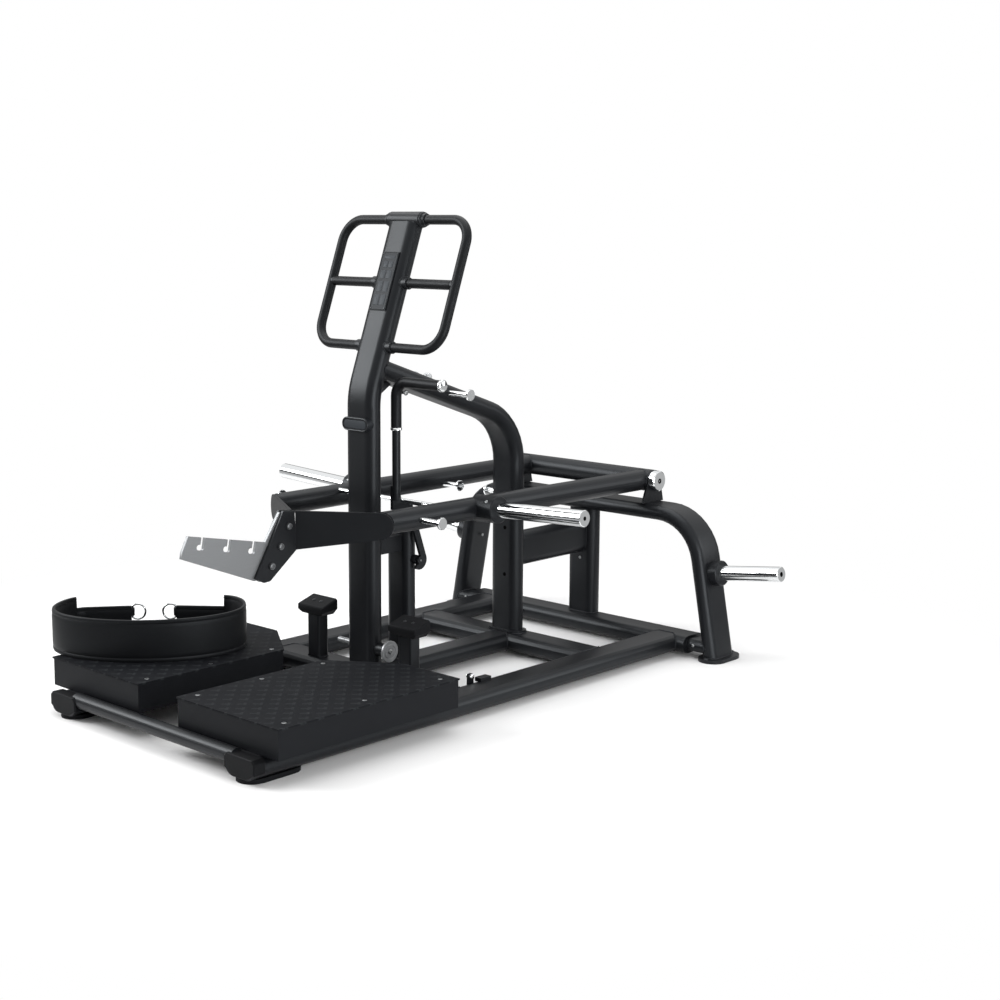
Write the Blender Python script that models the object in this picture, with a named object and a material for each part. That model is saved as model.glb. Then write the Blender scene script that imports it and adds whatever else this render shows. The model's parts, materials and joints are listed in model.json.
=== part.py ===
"""Plate-loaded sumo squat machine.

Metres, +Z up. The user stands on the two platforms at -Y and faces +Y. +X is the user's right.
Inside this file every piece is placed from the foot of the mast, which the empty named machine
carries. That empty puts the middle of the whole machine's footprint at the world origin.
"""

import math

import bmesh
import bpy
from mathutils import Matrix, Vector

# Running gap between solids that touch or turn on each other
GAP = 0.0003

# Flat-oval steel tube
TUBE_W = 0.120
TUBE_T = 0.060
OVAL_STEPS = 8

# Base frame
BASE_CLEARANCE = 0.013
RAIL_SPACING = 0.820
FRONT_REACH = 0.836
FRONT_CROSS_INSET = 0.024
FRONT_CROSS_Z = 0.059
FRONT_CROSS_R = 0.0225
FRONT_CROSS_SINK = 0.040
SPINE_FOOT_Y = 0.666
REAR_Y = 1.078
REAR_CROSS_Y = 1.056
CENTRE_TUBE_W = 0.110
REAR_CROSS_LENGTH = 1.000
STUB_W = 0.082
STUB_T = 0.044

# Feet
PAD_W = 0.092
PAD_LENGTH = 0.198
FOOT_W = 0.095
FOOT_LENGTH = 0.170
FOOT_T = 0.012

# Platforms
PLATFORM_INNER_X = 0.092
PLATFORM_OUTER_X = 0.519
PLATFORM_FRONT_Y = -0.793
PLATFORM_REAR_Y = -0.121
CHAMFER_X = 0.195
CHAMFER_Y = 0.137
TRAY_TOP = 0.1547
SHEET_T = 0.003
DECK_T = 0.005
DECK_OVERHANG = 0.003

# Mast
MAST_BEND_Z = 0.933
MAST_LEAN = math.radians(19.75)
MAST_BEND_R = 0.250
MAST_UPPER_LENGTH = 0.545
BADGE_W = 0.115
BADGE_H = 0.042
BADGE_Z = 0.842
BADGE_PROUD = 0.008
PLACARD_W = 0.070
PLACARD_H = 0.187
PLACARD_T = 0.003
PLACARD_S = 0.351

# Handle frame, in the plane of the leaning mast. S is measured along the lean from the bend.
HANDLE_R = 0.014
HANDLE_HALF_W = 0.272
HANDLE_CORNER_R = 0.072
HANDLE_TOP_S = 0.560
HANDLE_MID_S = 0.3555
HANDLE_LOW_S = 0.151
SOCKET_R = 0.019
SOCKET_LENGTH = 0.018
COLLAR_R = 0.025
COLLAR_LENGTH = 0.140

# Spine
SPINE_DROP = math.radians(18.75)
SPINE_AXIS_Z = 1.0235
SPINE_START_Y = 0.032
SPINE_CORNER_R = 0.200
SPINE_FLANGE_T = 0.008
SPINE_FLANGE_W = 0.150
GUSSET_T = 0.008
GUSSET_DEPTH = 0.085
GUSSET_DROP = 0.075

# Catch post and tie block behind the mast
POST_Y = 0.160
POST_W = 0.100
POST_T = 0.050
POST_TOP = 0.500
TIE_W = 0.050
TIE_LOW = 0.427
TIE_HIGH = 0.478

# Rear post, link tube and rear arch
LINK_W = 0.060
LINK_H = 0.120
LINK_Z = 0.3505
ARCH_Z = 0.4775
ARCH_W = 0.128
ARCH_T = 0.052
ARCH_SHOULDER_X = 0.499
LEG_LEAN = math.radians(10.7)
ARCH_BEND_R = 0.170
STORAGE_Z = 0.288
STORAGE_TILT = math.radians(7.5)
STORAGE_COLLAR_R = 0.0425
STORAGE_COLLAR_LENGTH = 0.036
STORAGE_LENGTH = 0.230
SLEEVE_R = 0.025

# Rear pivot
PIVOT_Z = 0.578
PIVOT_TUBE_R = 0.0365
PIVOT_HALF = 0.296
SHAFT_R = 0.020
BRACKET_T = 0.008
BRACKET_R = 0.036
BRACKET_FRONT = 0.062
BRACKET_REAR = 0.052
CAP_R = 0.035
CAP_T = 0.022

# Lever arms
ARM_X = 0.262
ARM_FRONT_X = 0.237
ARM_FRONT_Y = -0.150
ARM_R = 0.0355
ARM_COLLAR_R = 0.0425
ARM_COLLAR_END_X = 0.338
HORN_Y = 0.250
HORN_TILT = math.radians(2.6)
HORN_END_X = 0.674
HORN_HOLE_R = 0.006

# Yoke plates and tongue
YOKE_T = 0.009
YOKE_OUTER = (0.275, -0.140)
YOKE_APEX = (0.012, -0.290)
YOKE_END_R = 0.040
YOKE_APEX_LOW = 0.490
YOKE_APEX_HIGH = 0.607
TONGUE_T = 0.010
SLOT_W = 0.013
SLOT_DEPTH = 0.036
SLOT_LIP = 0.019
SLOT_REACH = 0.012
SLOT_MOUTHS = ((-0.627, 0.569), (-0.533, 0.551), (-0.442, 0.533))
BOLT_R = 0.006
BOLT_HEAD_R = 0.010
BOLT_HEAD_T = 0.006
BOLT_PLACES = ((-0.320, 0.565), (-0.352, 0.508), (-0.387, 0.454))

# Pegs
PEG_R = 0.009
PEG_HEAD_R = 0.0185
PEG_HEAD_T = 0.007
PEG_GRIP_DEPTH = 0.020
OUTER_PEG_Y = -0.027
OUTER_PEG_LENGTH = 0.090
INNER_PEG_Y = 0.583
INNER_PEG_Z = 0.565
INNER_PEG_LENGTH = 0.072
SPINE_PEG_Y = 0.315
SPINE_PEG_REACH = 0.155
UPRIGHT_PEG_Z = 0.547
UPRIGHT_PEG_REACH = 0.100
LOW_PEG_Y = 0.005
LOW_PEG_Z = 0.139
LOW_PEG_REACH = 0.108
LOW_PEG_TAIL = 0.127
LOW_BOSS_R = 0.021
LOW_PEG_HEAD_R = 0.034

# Bumpers
BUMPER_X = 0.2085
BUMPER_Y = -0.013
BUMPER_TOP = 0.253
BUMPER_RISE = 0.020
BUMPER_W = 0.118
BUMPER_D = 0.068
BUMPER_H = 0.030
BUMPER_POST_W = 0.056
BUMPER_POST_D = 0.042
BUMPER_POST_R = 0.008

# Catch lever
CATCH_PIN_Y = 0.165
CATCH_PIN_Z = 0.400
CATCH_PIN_R = 0.008
CATCH_PLATE_X = 0.072
CATCH_PLATE_T = 0.010
CATCH_BAR_W = 0.022
CATCH_ROD_R = 0.013
CATCH_ROD_X = 0.080
CATCH_ROD_Y = 0.060
CATCH_ROD_FOOT_Z = 0.605
CATCH_TOP_Z = 0.972
CATCH_BEND_R = 0.045
CATCH_HAND_X = 0.273
GRIP_R = 0.0165
GRIP_START_Z = 0.830
HAND_DISC_R = 0.0175
HAND_DISC_T = 0.009
CROSS_ROD_R = 0.008
CROSS_ROD_Y = 0.095
CROSS_ROD_Z = 0.598

# Belt, standing on the left platform. U runs across the belt, V towards its closed front.
BELT_X = -0.415
BELT_Y = -0.516
BELT_TURN = math.radians(46)
BELT_HALF_W = 0.289
BELT_DEPTH = 0.193
BELT_END_R = 0.080
BELT_END_DEPTH = 0.135
BELT_H = 0.128
BELT_T = 0.010
FLAP_LOW = 0.022
FLAP_H = 0.070
FLAP_END_RIGHT = 0.063
FLAP_END_LEFT = 0.079
FULL_END_RIGHT = 86
FULL_END_LEFT = 62
FLAP_END_V = -0.150
LOOP_R = 0.0062
LOOP_H = 0.026
RING_WIRE_R = 0.0028
RING_R = 0.024
RING_REACH = 0.016

# Values that follow from the ones above
BASE_Z = BASE_CLEARANCE + TUBE_T / 2
BASE_TOP = BASE_CLEARANCE + TUBE_T
RAIL_X = RAIL_SPACING / 2
FRONT_CROSS_Y = FRONT_CROSS_INSET - FRONT_REACH
FRONT_CROSS_HALF = RAIL_X - FRONT_CROSS_SINK
MAST_Y = (FRONT_REACH - REAR_Y - FOOT_LENGTH / 2) / 2
DECK_TOP = TRAY_TOP + GAP + DECK_T
LEAN_DIR = Vector((0, math.sin(MAST_LEAN), math.cos(MAST_LEAN)))
LEAN_FRONT = Vector((0, -math.cos(MAST_LEAN), math.sin(MAST_LEAN)))
X_AXIS, Y_AXIS, Z_AXIS = Vector((1, 0, 0)), Vector((0, 1, 0)), Vector((0, 0, 1))


def lean_point(x, s):
    """A point in the plane of the leaning mast, s along the lean from the bend."""
    return Vector((x, 0, MAST_BEND_Z)) + LEAN_DIR * s


def spine_axis_z(y):
    """Height of the spine's sloping axis at this distance behind the mast."""
    return SPINE_AXIS_Z - math.tan(SPINE_DROP) * y


def leg_axis_x(z):
    """Half spacing of the rear arch's leaning legs at this height."""
    return ARCH_SHOULDER_X + math.tan(LEG_LEAN) * (ARCH_Z - z)


def arm_x(y):
    """Half spacing of the lever arms, which close in slightly towards the front."""
    return ARM_X + (ARM_FRONT_X - ARM_X) * (REAR_Y - y) / (REAR_Y - ARM_FRONT_Y)


# Scene and materials
for old in list(bpy.data.objects):
    bpy.data.objects.remove(old, do_unlink=True)


def linear(hex_colour):
    """Hex sRGB colour as linear values."""
    values = [int(hex_colour[i : i + 2], 16) / 255 for i in (0, 2, 4)]
    return [v / 12.92 if v <= 0.04045 else ((v + 0.055) / 1.055) ** 2.4 for v in values] + [1]


def material(name, hex_colour, roughness, metallic):
    made = bpy.data.materials.new(name)
    made.use_nodes = True
    shader = made.node_tree.nodes["Principled BSDF"]
    shader.inputs["Base Color"].default_value = linear(hex_colour)
    shader.inputs["Roughness"].default_value = roughness
    shader.inputs["Metallic"].default_value = metallic
    return made


POWDER = material("black_powder_coat", "1d1f20", 0.45, 0.0)
DECK = material("textured_deck", "26282a", 0.8, 0.0)
RUBBER = material("black_rubber", "141414", 0.8, 0.0)
CHROME = material("polished_chrome", "d8d8d8", 0.12, 1.0)
STEEL = material("brushed_stainless", "8f9294", 0.4, 1.0)
LEATHER = material("belt_leather", "161719", 0.6, 0.0)
PLATE = material("printed_plate", "2b2d2f", 0.5, 0.0)

MACHINE = bpy.data.objects.new("machine", None)
MACHINE.location = (0, MAST_Y, 0)
bpy.context.scene.collection.objects.link(MACHINE)


def joint_empty(name, place, parent):
    """An empty on a joint's axis, placed from the foot of the mast."""
    made = bpy.data.objects.new(name, None)
    made["place"] = tuple(place)
    made.location = Vector(place) - Vector(parent.get("place", (0, 0, 0)))
    made.parent = parent
    bpy.context.scene.collection.objects.link(made)
    return made


def put(name, bm, mat, parent=MACHINE, centre=None):
    """Turns a mesh made in mast coordinates into an object whose origin is at its own centre."""
    bmesh.ops.recalc_face_normals(bm, faces=bm.faces)
    if centre is None:
        low = Vector([min(v.co[i] for v in bm.verts) for i in range(3)])
        high = Vector([max(v.co[i] for v in bm.verts) for i in range(3)])
        centre = (low + high) / 2
    bmesh.ops.translate(bm, verts=bm.verts, vec=-Vector(centre))
    mesh = bpy.data.meshes.new(name)
    bm.to_mesh(mesh)
    bm.free()
    mesh.shade_smooth()
    mesh.set_sharp_from_angle(angle=math.radians(32))
    made = bpy.data.objects.new(name, mesh)
    made.data.materials.append(mat)
    made.parent = parent
    made.location = Vector(centre) - Vector(parent.get("place", (0, 0, 0)))
    bpy.context.scene.collection.objects.link(made)
    return made


def helper(name, bm):
    """A cutter or an added shape: it stays out of renders."""
    made = put(name, bm, POWDER)
    made.hide_render = True
    made.display_type = "WIRE"
    return made


def boolean(target, other, operation="DIFFERENCE"):
    step = target.modifiers.new(other.name, "BOOLEAN")
    step.operation = operation
    step.object = other
    step.solver = "EXACT"
    return step


def oval(width, thick, grow=0.0, steps=OVAL_STEPS):
    """Flat-oval outline: two half circles and two flats, width first."""
    radius = thick / 2 + grow
    reach = width / 2 - thick / 2
    points = []
    for side in (1, -1):
        for i in range(steps + 1):
            angle = math.pi * (i / steps - 0.5)
            points.append((side * (reach + radius * math.cos(angle)), side * radius * math.sin(angle)))
    return points


def ring(radius, steps):
    return [
        (radius * math.cos(2 * math.pi * i / steps), radius * math.sin(2 * math.pi * i / steps))
        for i in range(steps)
    ]


def extruded(rings):
    """A solid through a list of outlines, extruded from each to the next."""
    bm = bmesh.new()
    face = bm.faces.new([bm.verts.new(point) for point in rings[0]])
    for i, points in enumerate(rings[1:]):
        grown = bmesh.ops.extrude_face_region(bm, geom=[face])
        if i:
            bm.faces.remove(face)
        face = next(item for item in grown["geom"] if isinstance(item, bmesh.types.BMFace))
        for vert, point in zip(face.verts, points):
            vert.co = point
    return bm


def sweep(path, section, across):
    """Sweeps a section along a flat path. Its first number lies along across, square to the path."""
    path = [Vector(point) for point in path]
    across = Vector(across).normalized()
    rings = []
    for i, point in enumerate(path):
        before = (point - path[i - 1]).normalized() if i else (path[1] - point).normalized()
        after = (path[i + 1] - point).normalized() if i < len(path) - 1 else before
        along = (before + after).normalized()
        stretch = 1 / max(0.2, along.dot(before))
        side = along.cross(across)
        rings.append([point + across * a + side * (b * stretch) for a, b in section])
    return extruded(rings)


def rounded_path(points, radius, steps):
    """The path with each inner corner turned into an arc of this radius."""
    points = [Vector(point) for point in points]
    out = [points[0]]
    for before, corner, after in zip(points, points[1:], points[2:]):
        to_before = (before - corner).normalized()
        to_after = (after - corner).normalized()
        half = to_before.angle(to_after) / 2
        centre = corner + (to_before + to_after).normalized() * (radius / math.sin(half))
        start = corner + to_before * (radius / math.tan(half)) - centre
        turn = math.pi - 2 * half
        axis = to_before.cross(to_after)
        for i in range(steps + 1):
            out.append(centre + Matrix.Rotation(-turn * i / steps, 3, axis) @ start)
    return out + [points[-1]]


def prism(outline, depth):
    """A flat outline of 3-D points, extruded by the vector depth."""
    depth = Vector(depth)
    points = [Vector(point) for point in outline]
    return extruded([points, [point + depth for point in points]])


def turned(start, axis, profile, steps=20):
    """A turned solid: profile is (distance along the axis, radius), from the axis back to it."""
    axis = Vector(axis).normalized()
    start = Vector(start)
    side = axis.orthogonal().normalized()
    bm = bmesh.new()
    verts = [bm.verts.new(start + axis * along + side * radius) for along, radius in profile]
    edges = [bm.edges.new(pair) for pair in zip(verts, verts[1:])]
    bmesh.ops.spin(
        bm, geom=verts + edges, cent=start, axis=axis, angle=2 * math.pi, steps=steps, use_merge=True
    )
    bmesh.ops.remove_doubles(bm, verts=bm.verts, dist=0.00002)
    return bm


def rod(start, end, radius, steps=20, bevel=0.0):
    """A plain round bar between two points, with an optional edge bevel."""
    start, end = Vector(start), Vector(end)
    length = (end - start).length
    if bevel:
        profile = [(0, 0), (0, radius - bevel), (bevel, radius), (length - bevel, radius)]
        profile += [(length, radius - bevel), (length, 0)]
    else:
        profile = [(0, 0), (0, radius), (length, radius), (length, 0)]
    return turned(start, end - start, profile, steps)


def block(low, high):
    low, high = Vector(low), Vector(high)
    corners = [(low.x, low.y), (high.x, low.y), (high.x, high.y), (low.x, high.y)]
    return prism([(x, y, low.z) for x, y in corners], (0, 0, high.z - low.z))


def in_yz(points, x):
    return [(x, y, z) for y, z in points]


def arc(centre, radius, first, last, steps):
    """Points on an arc in a plane, angles in degrees."""
    out = []
    for i in range(steps + 1):
        angle = math.radians(first + (last - first) * i / steps)
        out.append((centre[0] + radius * math.cos(angle), centre[1] + radius * math.sin(angle)))
    return out


def inset(outline, distance):
    """A convex outline moved inwards by this distance, corners in counter-clockwise order."""
    out = []
    count = len(outline)
    for i in range(count):
        before, here, after = (Vector(outline[(i + j) % count]) for j in (-1, 0, 1))
        first, second = (here - before).normalized(), (after - here).normalized()
        n_first, n_second = Vector((-first.y, first.x)), Vector((-second.y, second.x))
        bisector = (n_first + n_second).normalized()
        out.append(tuple(here + bisector * (distance / bisector.dot(n_first))))
    return out


# Base frame: rails and cross tubes
def rail_path(side):
    return [(side * RAIL_X, -FRONT_REACH, BASE_Z), (side * RAIL_X, REAR_CROSS_Y, BASE_Z)]


def cross_path(y, half=RAIL_X):
    return [(-half, y, BASE_Z), (half, y, BASE_Z)]


def past(path, extra):
    """A straight path made longer at both ends."""
    first, last = Vector(path[0]), Vector(path[-1])
    along = (last - first).normalized() * extra
    return [first - along, last + along]


MAIN = oval(TUBE_W, TUBE_T)
MAIN_CUT = oval(TUBE_W, TUBE_T, GAP)

rail_cutters = {
    side: helper(f"cut_rail_{name}", sweep(past(rail_path(side), 0.2), MAIN_CUT, X_AXIS))
    for name, side in (("right", 1), ("left", -1))
}
rear_cross_cutter = helper("cut_rear_cross", sweep(cross_path(REAR_CROSS_Y, 0.8), MAIN_CUT, Y_AXIS))
for name, side in (("right", 1), ("left", -1)):
    rail = put(f"rail_{name}", sweep(rail_path(side), MAIN, X_AXIS), POWDER)
    boolean(rail, rear_cross_cutter)

front_ends = [Vector((x, FRONT_CROSS_Y, FRONT_CROSS_Z)) for x in (-FRONT_CROSS_HALF, FRONT_CROSS_HALF)]
cross_tubes = [put("front_cross_tube", rod(*front_ends, FRONT_CROSS_R, 32), POWDER)]
for name, y in (("mast_cross_tube", 0.0), ("mid_cross_tube", SPINE_FOOT_Y)):
    cross_tubes.append(put(name, sweep(cross_path(y), MAIN, Y_AXIS), POWDER))
for tube in cross_tubes:
    for cutter in rail_cutters.values():
        boolean(tube, cutter)

centre_path = [(0, 0, BASE_Z), (0, SPINE_FOOT_Y, BASE_Z)]
centre_tube = put("centre_tube", sweep(centre_path, oval(CENTRE_TUBE_W, TUBE_T), X_AXIS), POWDER)
for name, y in (("mast", 0.0), ("mid", SPINE_FOOT_Y)):
    boolean(centre_tube, helper(f"cut_{name}_cross", sweep(cross_path(y), MAIN_CUT, Y_AXIS)))

# Rear arch: two leaning legs and a flat top, with a collar for each storage sleeve
leg_foot = Vector((leg_axis_x(-0.04), REAR_Y, -0.04))
shoulder = Vector((ARCH_SHOULDER_X, REAR_Y, ARCH_Z))
flip = Vector((-1, 1, 1))
arch_path = rounded_path([leg_foot, shoulder, shoulder * flip, leg_foot * flip], ARCH_BEND_R, 9)
rear_arch = put("rear_arch", sweep(arch_path, oval(ARCH_W, ARCH_T), Y_AXIS), POWDER)
arch_cutter = helper("cut_rear_arch", sweep(arch_path, oval(ARCH_W, ARCH_T, GAP), Y_AXIS))
ground_cutter = helper("cut_below_legs", block((-0.8, REAR_Y - 0.2, -0.1), (0.8, REAR_Y + 0.2, FOOT_T + GAP)))
for name, side in (("right", 1), ("left", -1)):
    out = Vector((side * math.cos(STORAGE_TILT), 0, math.sin(STORAGE_TILT)))
    root = Vector((side * leg_axis_x(STORAGE_Z), REAR_Y, STORAGE_Z))
    face = root + out * (ARCH_T / 2)
    collar_end = face + out * STORAGE_COLLAR_LENGTH
    collar = rod(root - out * 0.007, collar_end, STORAGE_COLLAR_R, 28, 0.003)
    boolean(rear_arch, helper(f"add_storage_collar_{name}", collar), "UNION")
    sleeve = turned(
        collar_end + out * GAP,
        out,
        [
            (0, 0),
            (0, SLEEVE_R),
            (STORAGE_LENGTH - 0.002, SLEEVE_R),
            (STORAGE_LENGTH, SLEEVE_R - 0.002),
            (STORAGE_LENGTH, HORN_HOLE_R),
            (STORAGE_LENGTH - 0.010, HORN_HOLE_R),
            (STORAGE_LENGTH - 0.010, 0),
        ],
        28,
    )
    put(f"storage_sleeve_{name}", sleeve, CHROME)

boolean(rear_arch, ground_cutter)

# Rear cross tube, with a narrower stub running to each leg
rear_cross = put("rear_cross_tube", sweep(cross_path(REAR_CROSS_Y, REAR_CROSS_LENGTH / 2), MAIN, Y_AXIS), POWDER)
stub_path = cross_path(REAR_CROSS_Y, leg_axis_x(BASE_Z))
boolean(rear_cross, helper("add_stub", sweep(stub_path, oval(STUB_W, STUB_T), Y_AXIS)), "UNION")
boolean(rear_cross, arch_cutter)

# Feet: an oblong plate under each leg and an oblong pad under each rail's front end
def oblong(x, y, width, length, low, high):
    outline = [(x + a, y + b) for b, a in oval(length, width, steps=9)]
    return prism([(px, py, low) for px, py in outline], (0, 0, high - low))


for name, side in (("right", 1), ("left", -1)):
    foot = oblong(side * leg_axis_x(0), REAR_Y, FOOT_W, FOOT_LENGTH, 0, FOOT_T)
    put(f"foot_plate_{name}", foot, POWDER)
    pad_x = side * RAIL_X
    pad = oblong(pad_x, PAD_LENGTH / 2 - FRONT_REACH, PAD_W, PAD_LENGTH, 0, BASE_CLEARANCE - GAP)
    put(f"front_pad_{name}", pad, RUBBER)

# Platforms: a folded tray, open below, and the deck plate on it
def platform_outline(side):
    corners = [
        (PLATFORM_INNER_X, PLATFORM_FRONT_Y),
        (PLATFORM_OUTER_X, PLATFORM_FRONT_Y),
        (PLATFORM_OUTER_X, PLATFORM_REAR_Y),
        (PLATFORM_INNER_X + CHAMFER_X, PLATFORM_REAR_Y),
        (PLATFORM_INNER_X, PLATFORM_REAR_Y - CHAMFER_Y),
    ]
    corners = [(side * x, y) for x, y in corners]
    return corners if side > 0 else corners[::-1]


for name, side in (("right", 1), ("left", -1)):
    outline = platform_outline(side)
    low = BASE_TOP + GAP
    tray = put(
        f"platform_tray_{name}",
        prism([(x, y, low) for x, y in outline], (0, 0, TRAY_TOP - low)),
        POWDER,
    )
    hollow = [(x, y, low - 0.02) for x, y in inset(outline, SHEET_T)]
    boolean(tray, helper(f"cut_tray_{name}", prism(hollow, (0, 0, TRAY_TOP - SHEET_T - low + 0.02))))
    edge = [(x, y, TRAY_TOP + GAP) for x, y in inset(outline, -DECK_OVERHANG)]
    put(f"deck_plate_{name}", prism(edge, (0, 0, DECK_T)), DECK)

# Mast, with the round collar that caps it
mast_path = rounded_path(
    [(0, 0, BASE_TOP + GAP), (0, 0, MAST_BEND_Z), lean_point(0, MAST_UPPER_LENGTH)], MAST_BEND_R, 6
)
mast = put("mast", sweep(mast_path, MAIN, X_AXIS), POWDER)
mast_cutter = helper("cut_mast", sweep(mast_path, MAIN_CUT, X_AXIS))
collar_centre = lean_point(0, HANDLE_TOP_S)
collar_half = X_AXIS * (COLLAR_LENGTH / 2)
put("top_collar", rod(collar_centre - collar_half, collar_centre + collar_half, COLLAR_R, 28, 0.003), POWDER)
boolean(
    mast,
    helper("cut_top_collar", rod(collar_centre - X_AXIS * 0.1, collar_centre + X_AXIS * 0.1, COLLAR_R + GAP, 28)),
)

# Bare oval badge and bare instruction plate on the mast's front
badge_front = -TUBE_T / 2 - BADGE_PROUD
badge = put(
    "badge_plate",
    prism([(a, badge_front, BADGE_Z + b) for a, b in oval(BADGE_W, BADGE_H)], (0, BADGE_PROUD + 0.018, 0)),
    PLATE,
)
boolean(badge, mast_cutter)
placard_centre = lean_point(0, PLACARD_S) + LEAN_FRONT * (TUBE_T / 2 + GAP)
placard_corners = [(-1, -1), (1, -1), (1, 1), (-1, 1)]
placard_outline = [
    placard_centre + X_AXIS * (a * PLACARD_W / 2) + LEAN_DIR * (b * PLACARD_H / 2) for a, b in placard_corners
]
put("placard", prism(placard_outline, LEAN_FRONT * PLACARD_T), PLATE)

# Handle frame: one bent bar and a middle bar on each side of the mast
handle_section = ring(HANDLE_R, 16)
for name, side in (("right", 1), ("left", -1)):
    inner = TUBE_W / 2 - TUBE_T / 4
    corners = [
        lean_point(side * (COLLAR_LENGTH / 2 + GAP), HANDLE_TOP_S),
        lean_point(side * HANDLE_HALF_W, HANDLE_TOP_S),
        lean_point(side * HANDLE_HALF_W, HANDLE_LOW_S),
        lean_point(side * inner, HANDLE_LOW_S),
    ]
    bar = sweep(rounded_path(corners, HANDLE_CORNER_R, 8), handle_section, LEAN_FRONT)
    handle = put(f"handle_{name}", bar, POWDER)
    middle = rod(lean_point(side * inner, HANDLE_MID_S), lean_point(side * HANDLE_HALF_W, HANDLE_MID_S), HANDLE_R, 16)
    boolean(handle, helper(f"add_handle_mid_{name}", middle), "UNION")
    for level, s in (("mid", HANDLE_MID_S), ("low", HANDLE_LOW_S)):
        socket = rod(
            lean_point(side * inner, s), lean_point(side * (TUBE_W / 2 + SOCKET_LENGTH), s), SOCKET_R, 20, 0.002
        )
        boolean(handle, helper(f"add_socket_{level}_{name}", socket), "UNION")
    boolean(handle, mast_cutter)

# Spine: a sloping tube behind the mast that bends down to the base, with its gusset and foot flange
spine_corner = Vector((0, SPINE_FOOT_Y, spine_axis_z(SPINE_FOOT_Y)))
spine_foot_z = BASE_TOP + GAP
spine_path = rounded_path(
    [(0, SPINE_START_Y, spine_axis_z(SPINE_START_Y)), spine_corner, (0, SPINE_FOOT_Y, spine_foot_z)], SPINE_CORNER_R, 9
)
spine = put("spine", sweep(spine_path, MAIN, X_AXIS), POWDER)
flange = oblong(0, SPINE_FOOT_Y, TUBE_T + 0.010, SPINE_FLANGE_W, spine_foot_z, spine_foot_z + SPINE_FLANGE_T)
bmesh.ops.rotate(
    flange, verts=flange.verts, cent=(0, SPINE_FOOT_Y, 0), matrix=Matrix.Rotation(math.pi / 2, 3, "Z")
)
boolean(spine, helper("add_spine_flange", flange), "UNION")
spine_under = TUBE_T / 2 / math.cos(SPINE_DROP)
gusset_y = TUBE_T / 2 + GUSSET_DEPTH
gusset_low = spine_axis_z(TUBE_T / 2) - spine_under - GUSSET_DROP
gusset_outline = [
    (0.006, gusset_low),
    (TUBE_T / 2 + 0.004, gusset_low),
    (gusset_y, spine_axis_z(gusset_y) - spine_under + 0.004),
    (gusset_y, spine_axis_z(gusset_y)),
    (SPINE_START_Y + 0.006, spine_axis_z(SPINE_START_Y)),
]
gusset = prism(in_yz(gusset_outline, -GUSSET_T / 2), (GUSSET_T, 0, 0))
boolean(spine, helper("add_gusset", gusset), "UNION")
boolean(spine, mast_cutter)

# Catch post on the centre tube, tied to the mast by a block
catch_post = put(
    "catch_post", sweep([(0, POST_Y, BASE_TOP + GAP), (0, POST_Y, POST_TOP)], oval(POST_W, POST_T), X_AXIS), POWDER
)
tie = block((-TIE_W / 2, TUBE_T / 2 + GAP, TIE_LOW), (TIE_W / 2, POST_Y, TIE_HIGH))
boolean(catch_post, helper("add_tie", tie), "UNION")

# Rear post and link tube
arch_under = ARCH_Z - ARCH_T / 2
put("rear_post", sweep([(0, REAR_Y, BASE_TOP + GAP), (0, REAR_Y, arch_under - GAP)], MAIN, X_AXIS), POWDER)
link_ends = (SPINE_FOOT_Y + TUBE_T / 2 + GAP, REAR_Y - TUBE_T / 2 - GAP)
link = sweep([(0, y, LINK_Z) for y in link_ends], [(b, a) for a, b in oval(LINK_H, LINK_W)], X_AXIS)
put("link_tube", link, POWDER)

# Rear pivot: two bracket plates on the arch and a shaft with chrome end caps
arch_top = ARCH_Z + ARCH_T / 2
shaft_cutter = helper("cut_shaft", rod((-0.4, REAR_Y, PIVOT_Z), (0.4, REAR_Y, PIVOT_Z), SHAFT_R + GAP, 24))
for name, side in (("right", 1), ("left", -1)):
    outline = [(REAR_Y - BRACKET_FRONT, arch_top + GAP), (REAR_Y + BRACKET_REAR, arch_top + GAP)]
    outline += arc((REAR_Y, PIVOT_Z), BRACKET_R, -8, 190, 14)
    inner = side * (PIVOT_HALF + 2 * GAP)
    bracket = put(f"pivot_bracket_{name}", prism(in_yz(outline, inner), (side * BRACKET_T, 0, 0)), POWDER)
    boolean(bracket, shaft_cutter)
shaft_end = PIVOT_HALF + BRACKET_T + 4 * GAP
cap_profile = [(CAP_T, 0), (CAP_T, CAP_R - 0.004), (CAP_T - 0.003, CAP_R), (0, CAP_R), (0, SHAFT_R)]
shaft_profile = [(shaft_end + along, radius) for along, radius in cap_profile]
shaft_profile = [(-along, radius) for along, radius in shaft_profile] + shaft_profile[::-1]
put("pivot_shaft", turned((0, REAR_Y, PIVOT_Z), X_AXIS, shaft_profile, 28), CHROME)

# Lever frame: everything that turns on the rear pivot
LEVER = joint_empty("lever_pivot", (0, REAR_Y, PIVOT_Z), MACHINE)
pivot_tube = put(
    "pivot_tube",
    rod((-PIVOT_HALF, REAR_Y, PIVOT_Z), (PIVOT_HALF, REAR_Y, PIVOT_Z), PIVOT_TUBE_R, 28),
    POWDER,
    LEVER,
)
boolean(pivot_tube, shaft_cutter)
pivot_tube_cutter = helper(
    "cut_pivot_tube", rod((-0.4, REAR_Y, PIVOT_Z), (0.4, REAR_Y, PIVOT_Z), PIVOT_TUBE_R + GAP, 28)
)
cross_rod_end = arm_x(CROSS_ROD_Y) - PEG_GRIP_DEPTH / 2
cross_rod_hole = helper(
    "cut_cross_rod",
    rod(
        (-cross_rod_end - GAP, CROSS_ROD_Y, CROSS_ROD_Z),
        (cross_rod_end + GAP, CROSS_ROD_Y, CROSS_ROD_Z),
        CROSS_ROD_R + GAP,
        16,
    ),
)
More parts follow.
